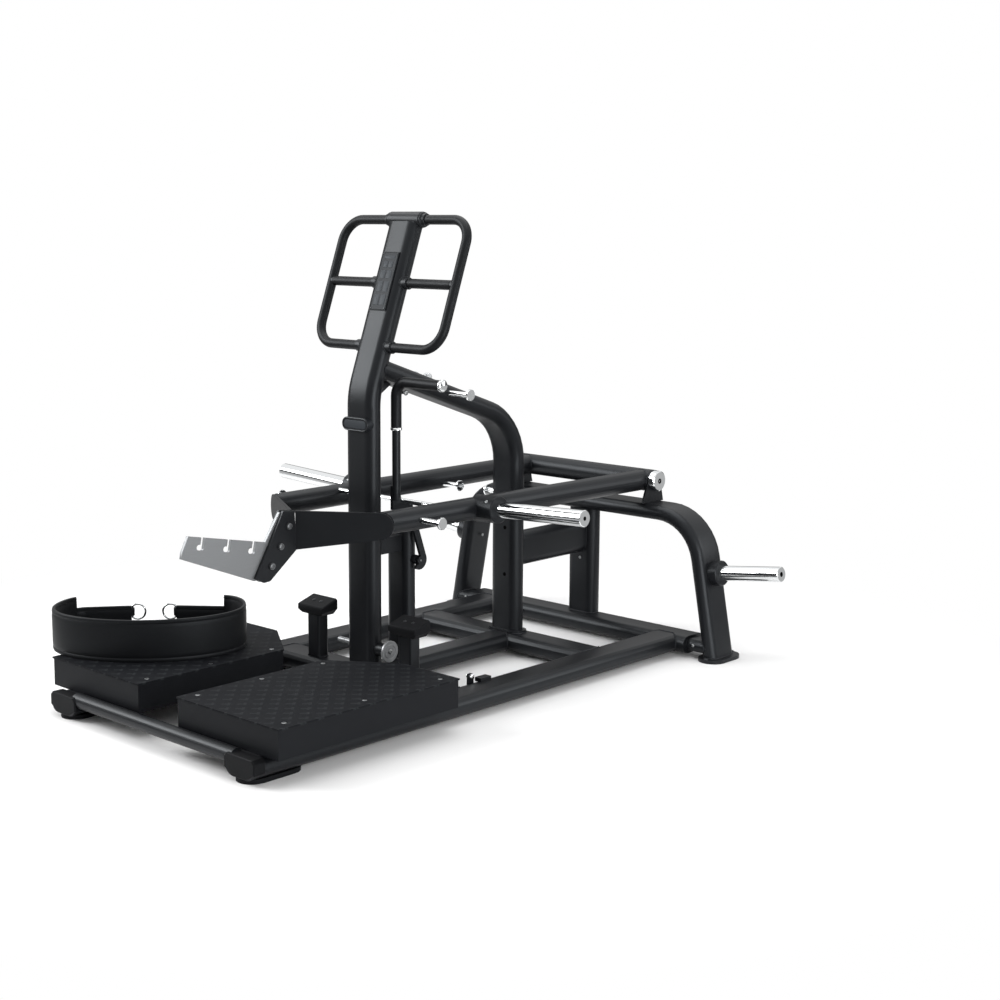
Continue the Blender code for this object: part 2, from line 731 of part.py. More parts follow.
put(
    "cross_rod",
    rod((-cross_rod_end, CROSS_ROD_Y, CROSS_ROD_Z), (cross_rod_end, CROSS_ROD_Y, CROSS_ROD_Z), CROSS_ROD_R, 16),
    CHROME,
    LEVER,
)


def peg(root, out, length, head_r, head_t=PEG_HEAD_T):
    """A round peg with a disc head. Root is where its foot sits."""
    profile = [(0, 0), (0, PEG_R), (length - head_t, PEG_R), (length - head_t, head_r)]
    profile += [(length - 0.0015, head_r), (length, head_r - 0.0015), (length, 0)]
    return turned(root, out, profile, 20)


def peg_hole(root, out):
    root, out = Vector(root), Vector(out)
    return rod(root - out * GAP, root + out * 0.08, PEG_R + GAP, 20)


for name, side in (("right", 1), ("left", -1)):
    outer, apex = Vector((side * YOKE_OUTER[0], YOKE_OUTER[1], 0)), Vector((side * YOKE_APEX[0], YOKE_APEX[1], 0))
    along = (apex - outer).normalized()
    back = Vector((-side * along.y * side, 0, 0)) + Vector((0, 0, 0))
    back = Vector((along.y, -along.x, 0)) * (1 if along.x < 0 else -1)
    length = (apex - outer).length

    arm_start = YOKE_OUTER[1] - 0.08

    # Arm tube, cut square to the yoke plate in front and saddled on the pivot tube behind
    arm = put(
        f"arm_{name}",
        rod((side * arm_x(arm_start), arm_start, PIVOT_Z), (side * ARM_X, REAR_Y, PIVOT_Z), ARM_R, 28),
        POWDER,
        LEVER,
    )
    arm_front = outer + back * (YOKE_T / 2 + GAP)
    corners = [arm_front - along * 0.1, arm_front + along * 0.2]
    corners += [corners[1] - back * 0.2, corners[0] - back * 0.2]
    front_cut = prism([(p.x, p.y, PIVOT_Z - 0.08) for p in corners], (0, 0, 0.16))
    boolean(arm, helper(f"cut_arm_front_{name}", front_cut))
    boolean(arm, pivot_tube_cutter)

    # Weight sleeve on its collar
    out = Vector((side * math.cos(HORN_TILT), 0, math.sin(HORN_TILT)))
    root = Vector((side * arm_x(HORN_Y), HORN_Y, PIVOT_Z))
    collar_end = root + out * ((ARM_COLLAR_END_X - arm_x(HORN_Y)) / math.cos(HORN_TILT))
    boolean(arm, helper(f"add_arm_collar_{name}", rod(root, collar_end, ARM_COLLAR_R, 28, 0.003)), "UNION")
    horn = (HORN_END_X - ARM_COLLAR_END_X) / math.cos(HORN_TILT)
    profile = [(0, 0), (0, SLEEVE_R), (horn - 0.002, SLEEVE_R), (horn, SLEEVE_R - 0.002)]
    profile += [(horn, HORN_HOLE_R), (horn - 0.010, HORN_HOLE_R), (horn - 0.010, 0)]
    put(f"weight_sleeve_{name}", turned(collar_end + out * GAP, out, profile, 28), CHROME, LEVER)

    # Band pegs outside and inside the arm, each seated in a blind hole
    x_out = X_AXIS * side
    peg_root = Vector((side * (arm_x(OUTER_PEG_Y) + ARM_R - PEG_GRIP_DEPTH), OUTER_PEG_Y, PIVOT_Z))
    put(
        f"outer_peg_{name}", peg(peg_root, x_out, OUTER_PEG_LENGTH + PEG_GRIP_DEPTH, PEG_HEAD_R), CHROME, LEVER
    )
    boolean(arm, helper(f"cut_outer_peg_{name}", peg_hole(peg_root, x_out)))
    peg_root = Vector((side * (arm_x(INNER_PEG_Y) - ARM_R + PEG_GRIP_DEPTH), INNER_PEG_Y, INNER_PEG_Z))
    put(
        f"inner_peg_{name}", peg(peg_root, -x_out, INNER_PEG_LENGTH + PEG_GRIP_DEPTH, PEG_HEAD_R), CHROME, LEVER
    )
    boolean(arm, helper(f"cut_inner_peg_{name}", peg_hole(peg_root, -x_out)))
    boolean(arm, cross_rod_hole)

    # Yoke plate with its flange beside the tongue
    mid_z = PIVOT_Z - 0.006
    side_view = arc((YOKE_END_R, mid_z), YOKE_END_R, 90, 270, 12)
    side_view += [(length, YOKE_APEX_LOW), (length, YOKE_APEX_HIGH)]
    near_face = [outer + along * a + back * (YOKE_T / 2) + Z_AXIS * z for a, z in side_view]
    yoke = put(f"yoke_{name}", prism(near_face, back * -YOKE_T), POWDER, LEVER)
    flange_outline = [(-0.339, 0.612), (-0.448, 0.425), (-0.415, 0.408), (-0.392, 0.410)]
    flange_outline += [(YOKE_APEX[1], YOKE_APEX_LOW), (-0.296, YOKE_APEX_HIGH)]
    flange_x = side * (TONGUE_T / 2 + GAP)
    flange = prism(in_yz(flange_outline, flange_x), (side * YOKE_T, 0, 0))
    boolean(yoke, helper(f"add_flange_{name}", flange), "UNION")

# Tongue plate with three J-shaped slots along its upper edge
tongue_outline = [
    (-0.679, 0.581),
    (-0.701, 0.537),
    (-0.704, 0.519),
    (-0.446, 0.417),
    (-0.396, 0.418),
    (-0.302, 0.496),
    (-0.306, 0.600),
    (-0.346, 0.608),
    (-0.402, 0.526),
]
tongue = put("tongue", prism(in_yz(tongue_outline, -TONGUE_T / 2), (TONGUE_T, 0, 0)), STEEL, LEVER)
edge_along = (Vector(tongue_outline[0]) - Vector(tongue_outline[-1])).normalized()
edge_down = Vector((-edge_along.y, edge_along.x))
edge_down = edge_down if edge_down.y < 0 else -edge_down
half = SLOT_W / 2
pocket_mid = (SLOT_LIP + SLOT_DEPTH) / 2
pocket_r = (SLOT_DEPTH - SLOT_LIP) / 2
slot_shape = [(-half, -0.012), (-half, SLOT_DEPTH - half)]
slot_shape += arc((0, SLOT_DEPTH - half), half, 180, 90, 4)[1:]
slot_shape += arc((half + SLOT_REACH - pocket_r, pocket_mid), pocket_r, 90, -90, 8)
slot_shape += [(half, SLOT_LIP), (half, -0.012)]
for i, mouth in enumerate(SLOT_MOUTHS):
    points = [Vector(mouth) + edge_along * a + edge_down * d for a, d in slot_shape]
    slot = prism(in_yz(points, -TONGUE_T), (2 * TONGUE_T, 0, 0))
    boolean(tongue, helper(f"cut_slot_{i + 1}", slot))

# Cross bolts through both flanges and the tongue
grip = TONGUE_T / 2 + GAP + YOKE_T + GAP
for i, (y, z) in enumerate(BOLT_PLACES):
    profile = [(grip + BOLT_HEAD_T, 0), (grip + BOLT_HEAD_T, BOLT_HEAD_R), (grip, BOLT_HEAD_R), (grip, BOLT_R)]
    profile = [(-a, r) for a, r in profile] + profile[::-1]
    put(f"tongue_bolt_{i + 1}", turned((0, y, z), X_AXIS, profile, 12), STEEL, LEVER)
    hole = helper(f"cut_tongue_bolt_{i + 1}", rod((-0.05, y, z), (0.05, y, z), BOLT_R + GAP, 12))
    for name in ("yoke_right", "yoke_left", "tongue"):
        boolean(bpy.data.objects[name], hole)

# Bumpers on their posts: wedge caps whose tops rise towards the pivot
def rounded_box(width, depth, radius, steps=4):
    """A rectangle with round corners, counter-clockwise."""
    points = []
    for sign_a, sign_b, first in ((1, 1, 0), (-1, 1, 90), (-1, -1, 180), (1, -1, 270)):
        centre = (sign_a * (width / 2 - radius), sign_b * (depth / 2 - radius))
        points += arc(centre, radius, first, first + 90, steps)
    return points


for name, side in (("right", 1), ("left", -1)):
    x = side * BUMPER_X
    cap_low = BUMPER_TOP - BUMPER_RISE / 2 - BUMPER_H
    post_outline = rounded_box(BUMPER_POST_W, BUMPER_POST_D, BUMPER_POST_R)
    post_low = BASE_TOP + GAP
    post = [(x + a, BUMPER_Y + b, post_low) for a, b in post_outline]
    put(f"bumper_post_{name}", prism(post, (0, 0, cap_low - GAP - post_low)), POWDER)
    levels = ((0, 0.80, 0), (0.35, 1.0, 0.35), (0.86, 1.0, 1.0), (1.0, 0.93, 1.0))
    cap_outline = rounded_box(BUMPER_W, BUMPER_D, BUMPER_POST_R / 2, 2)
    rings = []
    for h, k, tilt in levels:
        level = [
            (x + a * k, BUMPER_Y + b * k, cap_low + BUMPER_H * h + tilt * BUMPER_RISE * (0.5 + b / BUMPER_D))
            for a, b in cap_outline
        ]
        rings.append(level)
    put(f"bumper_{name}", extruded(rings), RUBBER)

# Fixed pegs: through the spine, through the upright below it, and through the foot of the mast
def through_peg(name, y, z, reach, head_r, head_t, target):
    profile = [(reach, 0), (reach, head_r - 0.0015), (reach - 0.0015, head_r)]
    profile += [(reach - head_t, head_r), (reach - head_t, PEG_R)]
    profile = [(-a, r) for a, r in profile] + profile[::-1]
    put(name, turned((0, y, z), X_AXIS, profile, 22), CHROME)
    boolean(target, helper(f"cut_{name}", rod((-0.1, y, z), (0.1, y, z), PEG_R + GAP, 22)))


through_peg("spine_peg", SPINE_PEG_Y, spine_axis_z(SPINE_PEG_Y), SPINE_PEG_REACH, PEG_HEAD_R, PEG_HEAD_T, spine)
through_peg("upright_peg", SPINE_FOOT_Y, UPRIGHT_PEG_Z, UPRIGHT_PEG_REACH, PEG_HEAD_R, PEG_HEAD_T, spine)
# Low peg: a disc on the right, seated on a black boss, and a bare tail on the left
boss_end = LOW_PEG_REACH - PEG_HEAD_T - GAP
boss = rod((0.045, LOW_PEG_Y, LOW_PEG_Z), (boss_end, LOW_PEG_Y, LOW_PEG_Z), LOW_BOSS_R, 20)
boolean(mast, helper("add_low_boss", boss), "UNION")
profile = [(-LOW_PEG_TAIL, 0), (-LOW_PEG_TAIL, PEG_R - 0.002), (0.002 - LOW_PEG_TAIL, PEG_R)]
profile += [(LOW_PEG_REACH - PEG_HEAD_T, PEG_R), (LOW_PEG_REACH - PEG_HEAD_T, LOW_PEG_HEAD_R)]
profile += [(LOW_PEG_REACH - 0.0015, LOW_PEG_HEAD_R), (LOW_PEG_REACH, LOW_PEG_HEAD_R - 0.0015), (LOW_PEG_REACH, 0)]
put("low_peg", turned((0, LOW_PEG_Y, LOW_PEG_Z), X_AXIS, profile, 22), CHROME)
low_hole = rod((-0.2, LOW_PEG_Y, LOW_PEG_Z), (0.2, LOW_PEG_Y, LOW_PEG_Z), PEG_R + GAP, 22)
boolean(mast, helper("cut_low_peg", low_hole))

# Catch pin: seated in the post's right edge, it carries the catch lever
plate_in = CATCH_PLATE_X - CATCH_PLATE_T / 2
plate_out = CATCH_PLATE_X + CATCH_PLATE_T / 2
pin_foot = POST_W / 2 - PEG_GRIP_DEPTH
profile = [(pin_foot, 0), (pin_foot, CATCH_PIN_R), (POST_W / 2 + GAP, CATCH_PIN_R), (POST_W / 2 + GAP, 0.015)]
profile += [(plate_in - GAP, 0.015), (plate_in - GAP, CATCH_PIN_R), (plate_out + GAP, CATCH_PIN_R)]
profile += [(plate_out + GAP, 0.0125), (plate_out + 0.005, 0.0125), (plate_out + 0.005, 0)]
put("catch_pin", turned((0, CATCH_PIN_Y, CATCH_PIN_Z), X_AXIS, profile, 20), CHROME)
pin_hole = rod(
    (pin_foot - GAP, CATCH_PIN_Y, CATCH_PIN_Z), (0.12, CATCH_PIN_Y, CATCH_PIN_Z), CATCH_PIN_R + GAP, 20
)
boolean(catch_post, helper("cut_catch_pin", pin_hole))

# Catch lever: a J-shaped flat bar hooked round the pin, a cradle under the cross rod, and the hand rod
CATCH = joint_empty("catch_pivot", (CATCH_PLATE_X, CATCH_PIN_Y, CATCH_PIN_Z), MACHINE)
hook_in = CATCH_PIN_R + 2 * GAP
hook_out = hook_in + CATCH_BAR_W
hook_mid = (hook_in + hook_out) / 2
seat_r = CROSS_ROD_R + GAP
lean = math.degrees(math.atan2(CATCH_PIN_Y - CROSS_ROD_Y, CROSS_ROD_Z - CATCH_PIN_Z))
bar_dir = Vector((-math.sin(math.radians(lean)), math.cos(math.radians(lean))))
bar_side = Vector((bar_dir.y, -bar_dir.x))
pin = Vector((CATCH_PIN_Y, CATCH_PIN_Z))
bar_length = (CROSS_ROD_Z - seat_r - 0.012 - CATCH_PIN_Z) / bar_dir.y
j_outline = [pin + bar_side * hook_out + bar_dir * bar_length, pin + bar_side * hook_in + bar_dir * bar_length]
j_outline += [Vector(p) for p in arc(pin, hook_in, lean, -125, 12)]
j_outline += [Vector(p) for p in arc(pin, hook_out, -125, lean, 14)]
catch_lever = put(
    "catch_lever", prism(in_yz(j_outline, plate_in), (CATCH_PLATE_T, 0, 0)), POWDER, CATCH,
    (CATCH_PLATE_X, CATCH_PIN_Y, CATCH_PIN_Z),
)
rod_front, rod_back = CATCH_ROD_Y - CATCH_ROD_R, CATCH_ROD_Y + CATCH_ROD_R
head = [(rod_front, CATCH_ROD_FOOT_Z - 0.030), (rod_front, CATCH_ROD_FOOT_Z + 0.045)]
head += [(rod_back, CATCH_ROD_FOOT_Z + 0.045), (CROSS_ROD_Y - seat_r, CROSS_ROD_Z)]
head += arc((CROSS_ROD_Y, CROSS_ROD_Z), seat_r, 180, 270, 5)[1:]
shelf = pin + bar_side * hook_out + bar_dir * bar_length
head += [(shelf.x - 0.002, CROSS_ROD_Z - seat_r), tuple(shelf - bar_dir * 0.015)]
head += [tuple(pin + bar_side * hook_in + bar_dir * (bar_length - 0.040))]
boolean(catch_lever, helper("add_catch_head", prism(in_yz(head, plate_in), (CATCH_PLATE_T, 0, 0))), "UNION")
rod_corners = [
    (CATCH_ROD_X, CATCH_ROD_Y, CATCH_ROD_FOOT_Z),
    (CATCH_ROD_X, CATCH_ROD_Y, CATCH_TOP_Z),
    (CATCH_HAND_X, CATCH_ROD_Y, CATCH_TOP_Z),
]
rod_path = rounded_path(rod_corners, CATCH_BEND_R, 8)
boolean(catch_lever, helper("add_hand_rod", sweep(rod_path, ring(CATCH_ROD_R, 16), Y_AXIS)), "UNION")
disc_x = Vector((CATCH_HAND_X, CATCH_ROD_Y, CATCH_TOP_Z))
disc = rod(disc_x - X_AXIS * 0.002, disc_x + X_AXIS * HAND_DISC_T, HAND_DISC_R, 20, 0.001)
boolean(catch_lever, helper("add_hand_disc", disc), "UNION")
grip_corners = [
    (CATCH_ROD_X, CATCH_ROD_Y, GRIP_START_Z),
    (CATCH_ROD_X, CATCH_ROD_Y, CATCH_TOP_Z),
    (CATCH_HAND_X - 0.002 - GAP, CATCH_ROD_Y, CATCH_TOP_Z),
]
grip_sweep = sweep(rounded_path(grip_corners, CATCH_BEND_R, 8), ring(GRIP_R, 16), Y_AXIS)
catch_grip = put("catch_grip", grip_sweep, RUBBER, CATCH)
bore_corners = [rod_corners[0], rod_corners[1], (CATCH_HAND_X + 0.02, CATCH_ROD_Y, CATCH_TOP_Z)]
bore = sweep(rounded_path(bore_corners, CATCH_BEND_R, 8), ring(CATCH_ROD_R + GAP, 16), Y_AXIS)
boolean(catch_grip, helper("cut_grip_bore", bore))

# Belt: one padded strip that curves round and turns in at both ends, standing on the left deck
u_dir = Vector((math.cos(BELT_TURN), math.sin(BELT_TURN), 0))
v_dir = Vector((math.sin(BELT_TURN), -math.cos(BELT_TURN), 0))
belt_floor = DECK_TOP + GAP
BELT = joint_empty("belt_lift", (BELT_X, BELT_Y, belt_floor), MACHINE)


def belt_point(u, v, z):
    return Vector((BELT_X, BELT_Y, z)) + u_dir * u + v_dir * v


def belt_line(full_end, flap_end):
    """Half of the belt's centre line, from the middle of its front to its flap end, with its height."""
    points = []
    for i in range(19):
        angle = math.radians(90 - 5 * i)
        points.append((BELT_HALF_W * math.cos(angle), BELT_DEPTH * math.sin(angle), 1.0))
    centre_u = BELT_HALF_W - BELT_END_R
    degrees = sorted([11.25 * i for i in range(1, 9) if abs(11.25 * i - full_end) > 3] + [full_end, full_end + 1])
    for degree in degrees:
        angle = math.radians(degree)
        full = 1.0 if degree <= full_end else 0.0
        points.append((centre_u + BELT_END_R * math.cos(angle), -BELT_END_DEPTH * math.sin(angle), full))
    for i in range(1, 5):
        t = i / 4
        points.append((centre_u + (flap_end - centre_u) * t, -BELT_END_DEPTH + (FLAP_END_V + BELT_END_DEPTH) * t, 0.0))
    return points


left_line = belt_line(FULL_END_LEFT, FLAP_END_LEFT)
line = [(-u, v, full) for u, v, full in left_line[:0:-1]] + belt_line(FULL_END_RIGHT, FLAP_END_RIGHT)
section = [(-0.25, 0), (0.25, 0), (0.5, 0.12), (0.5, 0.88), (0.25, 1), (-0.25, 1), (-0.5, 0.88), (-0.5, 0.12)]
belt_rings = []
for i, (u, v, full) in enumerate(line):
    before, after = line[max(i - 1, 0)], line[min(i + 1, len(line) - 1)]
    along = (u_dir * (after[0] - before[0]) + v_dir * (after[1] - before[1])).normalized()
    side = along.cross(Z_AXIS)
    low = belt_floor + (0 if full else FLAP_LOW)
    tall = BELT_H if full else FLAP_H
    belt_rings.append([belt_point(u, v, low + k * tall) + side * (w * BELT_T) for w, k in section])
belt = put("belt", extruded(belt_rings), LEATHER, BELT, (BELT_X, BELT_Y, belt_floor))
loop_mid = belt_floor + FLAP_LOW + FLAP_H - LOOP_H / 2 - 0.006
loop_u = {1: FLAP_END_RIGHT - LOOP_R * 0.6, -1: LOOP_R * 0.6 - FLAP_END_LEFT}
for name, side in (("right", 1), ("left", -1)):
    axis_u = loop_u[side]
    foot = belt_point(axis_u, FLAP_END_V, loop_mid - LOOP_H / 2)
    boolean(belt, helper(f"add_loop_{name}", rod(foot, foot + Z_AXIS * LOOP_H, LOOP_R, 16)), "UNION")

# D-rings: each hangs on its loop and swings about the loop's bar
for name, side in (("right", 1), ("left", -1)):
    axis = belt_point(loop_u[side], FLAP_END_V, loop_mid)
    hole = rod(axis - Z_AXIS * 0.08, axis + Z_AXIS * 0.08, RING_WIRE_R + GAP, 12)
    boolean(belt, helper(f"cut_loop_{name}", hole))
    pivot = joint_empty(f"ring_pivot_{name}", axis, BELT)
    inward = u_dir * -side
    last = 180 - math.degrees(math.acos(RING_REACH / RING_R))
    rounds = [last * (i / 10 - 1) for i in range(21)]
    path = [
        axis
        + Z_AXIS * (RING_R * math.sin(math.radians(a)))
        + inward * (RING_R * math.cos(math.radians(a)) + RING_REACH)
        for a in rounds
    ]
    foot, top = path[0], path[-1]
    path += [top + (foot - top) * (i / 4) for i in (1, 2, 3)]
    curve = bpy.data.curves.new(f"d_ring_{name}", "CURVE")
    curve.dimensions = "3D"
    curve.bevel_depth = RING_WIRE_R
    curve.bevel_resolution = 1
    spline = curve.splines.new("POLY")
    spline.points.add(len(path) - 1)
    for point, place in zip(spline.points, path):
        point.co = (*(place - axis), 1)
    spline.use_cyclic_u = True
    made = bpy.data.objects.new(f"d_ring_{name}", curve)
    made.data.materials.append(CHROME)
    made.parent = pivot
    bpy.context.scene.collection.objects.link(made)

print("machine length", FRONT_REACH + REAR_Y + FOOT_LENGTH / 2)
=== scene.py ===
"""Visual model of a plate-loaded sumo squat machine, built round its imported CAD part.

Metres, +Z up. The user stands at -Y and faces +Y, and +X is the user's right. Places are written
from the foot of the mast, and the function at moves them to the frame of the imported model.
"""

import json
import logging
import math
from dataclasses import dataclass, field
from enum import Enum

import bmesh
import bpy
from bmesh.types import BMesh, BMVert
from bpy.types import Node, NodeSocket, NodeTree, Object
from mathutils import Matrix, Vector
from mathutils.bvhtree import BVHTree

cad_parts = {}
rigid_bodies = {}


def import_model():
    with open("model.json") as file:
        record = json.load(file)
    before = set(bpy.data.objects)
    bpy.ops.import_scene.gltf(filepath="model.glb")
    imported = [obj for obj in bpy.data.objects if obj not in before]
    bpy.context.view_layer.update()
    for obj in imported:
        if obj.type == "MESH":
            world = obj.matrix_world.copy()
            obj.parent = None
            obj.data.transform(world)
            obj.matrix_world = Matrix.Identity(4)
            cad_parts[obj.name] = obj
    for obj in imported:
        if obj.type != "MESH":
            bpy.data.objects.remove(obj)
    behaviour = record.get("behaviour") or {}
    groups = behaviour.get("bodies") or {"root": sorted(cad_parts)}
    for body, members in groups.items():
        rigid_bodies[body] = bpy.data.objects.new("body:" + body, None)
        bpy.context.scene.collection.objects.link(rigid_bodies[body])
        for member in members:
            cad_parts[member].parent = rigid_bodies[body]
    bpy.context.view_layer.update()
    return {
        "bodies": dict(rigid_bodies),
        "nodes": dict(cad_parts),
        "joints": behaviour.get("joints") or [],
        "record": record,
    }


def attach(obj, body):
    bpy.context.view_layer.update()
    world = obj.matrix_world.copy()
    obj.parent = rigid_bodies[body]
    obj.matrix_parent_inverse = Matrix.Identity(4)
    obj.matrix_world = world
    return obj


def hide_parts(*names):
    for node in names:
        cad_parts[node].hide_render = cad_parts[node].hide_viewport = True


logging.basicConfig(level=logging.INFO, format="%(message)s")
LOG = logging.getLogger("squat_machine")

MAST_Y = -0.1635
MILLIMETRE = 0.001
X_AXIS = Vector((1, 0, 0))
Y_AXIS = Vector((0, 1, 0))
Z_AXIS = Vector((0, 0, 1))
Outline = list[tuple[float, float]]
Value = float | NodeSocket

# The upper mast leans back above its bend, and the handle frame lies in the same plane.
LEAN = math.radians(19.75)
BEND_Z = 0.933
LEAN_UP = Vector((0, math.sin(LEAN), math.cos(LEAN)))
LEAN_FRONT = Vector((0, -math.cos(LEAN), math.sin(LEAN)))


class Body(Enum):
    """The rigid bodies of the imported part."""

    FRAME = "frame"
    LEVER = "lever_frame"
    CATCH = "catch"
    BELT = "belt"
    RING_RIGHT = "ring_right"
    RING_LEFT = "ring_left"


class Side(Enum):
    """The machine's two sides, with the sign of X on each."""

    RIGHT = 1
    LEFT = -1

    @property
    def label(self) -> str:
        """The side's name as node names write it."""
        return self.name.lower()


def at(x: float, y: float, z: float) -> Vector:
    """A place measured from the foot of the mast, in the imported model's frame."""
    return Vector((x, y + MAST_Y, z))


def linear(hex_colour: str) -> tuple[float, float, float, float]:
    """Turns a colour written as sRGB hex into linear values.

    Args:
        hex_colour: six hex digits.

    Returns:
        Linear red, green, blue and an alpha of one.
    """
    parts = [int(hex_colour[i : i + 2], 16) / 255 for i in (0, 2, 4)]
    red, green, blue = [p / 12.92 if p <= 0.04045 else ((p + 0.055) / 1.055) ** 2.4 for p in parts]
    return (red, green, blue, 1.0)


def add_node(tree: NodeTree, kind: str, inputs: dict | None = None, **settings: str | int) -> Node:
    """Adds a node with its settings and its inputs, which are values or sockets to link.

    Args:
        tree: the node tree.
        kind: the node's type name.
        inputs: input name or index, to a value or an output socket.
        **settings: the node's own properties.

    Returns:
        The new node.
    """
    node = tree.nodes.new(kind)
    for name, value in settings.items():
        setattr(node, name, value)
    for name, value in (inputs or {}).items():
        if isinstance(value, NodeSocket):
            tree.links.new(value, node.inputs[name])
        else:
            node.inputs[name].default_value = value
    return node


def add_math(tree: NodeTree, operation: str, *values: Value) -> NodeSocket:
    """The result of a Math node on numbers and sockets."""
    return add_node(tree, "ShaderNodeMath", dict(enumerate(values)), operation=operation).outputs[0]


def add_range(tree: NodeTree, share: NodeSocket, low: Value, high: Value) -> NodeSocket:
    """The value between two ends that a 0 to 1 socket picks."""
    inputs = {"Value": share, "To Min": low, "To Max": high}
    return add_node(tree, "ShaderNodeMapRange", inputs).outputs["Result"]


# Finishes


@dataclass
class Canvas:
    """The node tree of a material while its finish is drawn on it."""

    tree: NodeTree
    shader: Node
    place: NodeSocket
    edge: NodeSocket | None

    def noise(self, scale: float, detail: float, stretch: tuple[float, ...] = ()) -> NodeSocket:
        """A cloudy value from 0 to 1 over the object.

        Args:
            scale: how fine the clouds are, as features to the metre.
            detail: octaves of finer noise on top.
            stretch: a further scale for each axis, where they differ.

        Returns:
            The value's socket.
        """
        place = self.place
        if stretch:
            mapping = add_node(self.tree, "ShaderNodeMapping", {"Vector": place, "Scale": stretch})
            place = mapping.outputs["Vector"]
        inputs = {"Vector": place, "Scale": scale, "Detail": detail}
        return add_node(self.tree, "ShaderNodeTexNoise", inputs).outputs["Fac"]

    def vary(self, value: NodeSocket, low: float, high: float) -> None:
        """Lets a 0 to 1 socket move the roughness between two ends."""
        roughness = add_range(self.tree, value, low, high)
        self.tree.links.new(roughness, self.shader.inputs["Roughness"])

    def tint(self, value: NodeSocket, colour: str, other: str) -> None:
        """Lets a 0 to 1 socket mix the base colour from two.

        Args:
            value: 0 for the first colour, 1 for the other.
            colour: the first, as sRGB hex.
            other: the other one.
        """
        colours = {0: value, 6: linear(colour), 7: linear(other)}
        mix = add_node(self.tree, "ShaderNodeMix", colours, data_type="RGBA")
        self.tree.links.new(mix.outputs[2], self.shader.inputs["Base Color"])

    def bump(self, height: NodeSocket, distance: float, strength: float) -> None:
        """Bumps the surface, over the rounded edges where there are any.

        Args:
            height: the relief.
            distance: the relief's depth in metres.
            strength: how much of it shows.
        """
        inputs = {"Height": height, "Distance": distance, "Strength": strength}
        if self.edge is not None:
            inputs["Normal"] = self.edge
        bumped = add_node(self.tree, "ShaderNodeBump", inputs)
        self.tree.links.new(bumped.outputs["Normal"], self.shader.inputs["Normal"])


@dataclass(frozen=True)
class Finish:
    """A surface finish: its base look, and a bump and a tint that each kind adds."""

    name: str
    colour: str
    roughness: float
    metallic: float = 0.0
    slot: str = "powder_coat"
    specular: float = 0.5
    # specular_tint gives every non-metal reflection a faint blue cast, a painted tint of the light's colour.
    specular_tint: str = "f2f9ff"
    rounding: float = 0.0

    def material(self) -> bpy.types.Material:
        """The material of this finish, made once.

        Returns:
            The material.
        """
        made = bpy.data.materials.get(self.name)
        if made is not None:
            return made
        made = bpy.data.materials.new(self.name)
        made.use_nodes = True
        tree = made.node_tree
        shader = tree.nodes["Principled BSDF"]
        look = {"Base Color": linear(self.colour), "Roughness": self.roughness, "Metallic": self.metallic}
        if not self.metallic:
            look |= {"Specular IOR Level": self.specular, "Specular Tint": linear(self.specular_tint)}
        for name, value in look.items():
            shader.inputs[name].default_value = value
        place = add_node(tree, "ShaderNodeTexCoord").outputs["Object"]
        edge = None
        if self.rounding:
            edge = add_node(tree, "ShaderNodeBevel", {"Radius": self.rounding}, samples=4).outputs["Normal"]
        self.pattern(Canvas(tree, shader, place, edge))
        return made

    def pattern(self, canvas: Canvas) -> None:
        """Adds this finish's own detail, which is no more than the rounded edges here."""
        if canvas.edge is not None:
            canvas.tree.links.new(canvas.edge, canvas.shader.inputs["Normal"])


@dataclass(frozen=True)
class PowderCoat(Finish):
    """Sprayed polyester powder on steel: satin, with a soft orange peel that breaks up highlights."""

    peel: float = 2.4 * MILLIMETRE
    peel_depth: float = 0.2 * MILLIMETRE
    uneven: float = 0.05
    light: str = "18191b"

    def pattern(self, canvas: Canvas) -> None:
        """Orange peel, drawn twice as coarse as real so that it shows, and uneven gloss.

        Args:
            canvas: the material to draw on.
        """
        cloud = canvas.noise(6.0, 4.0)
        canvas.vary(cloud, self.roughness - self.uneven, self.roughness + self.uneven)
        canvas.tint(cloud, self.colour, self.light)
        canvas.bump(canvas.noise(1 / self.peel, 2.0), self.peel_depth, 0.35)


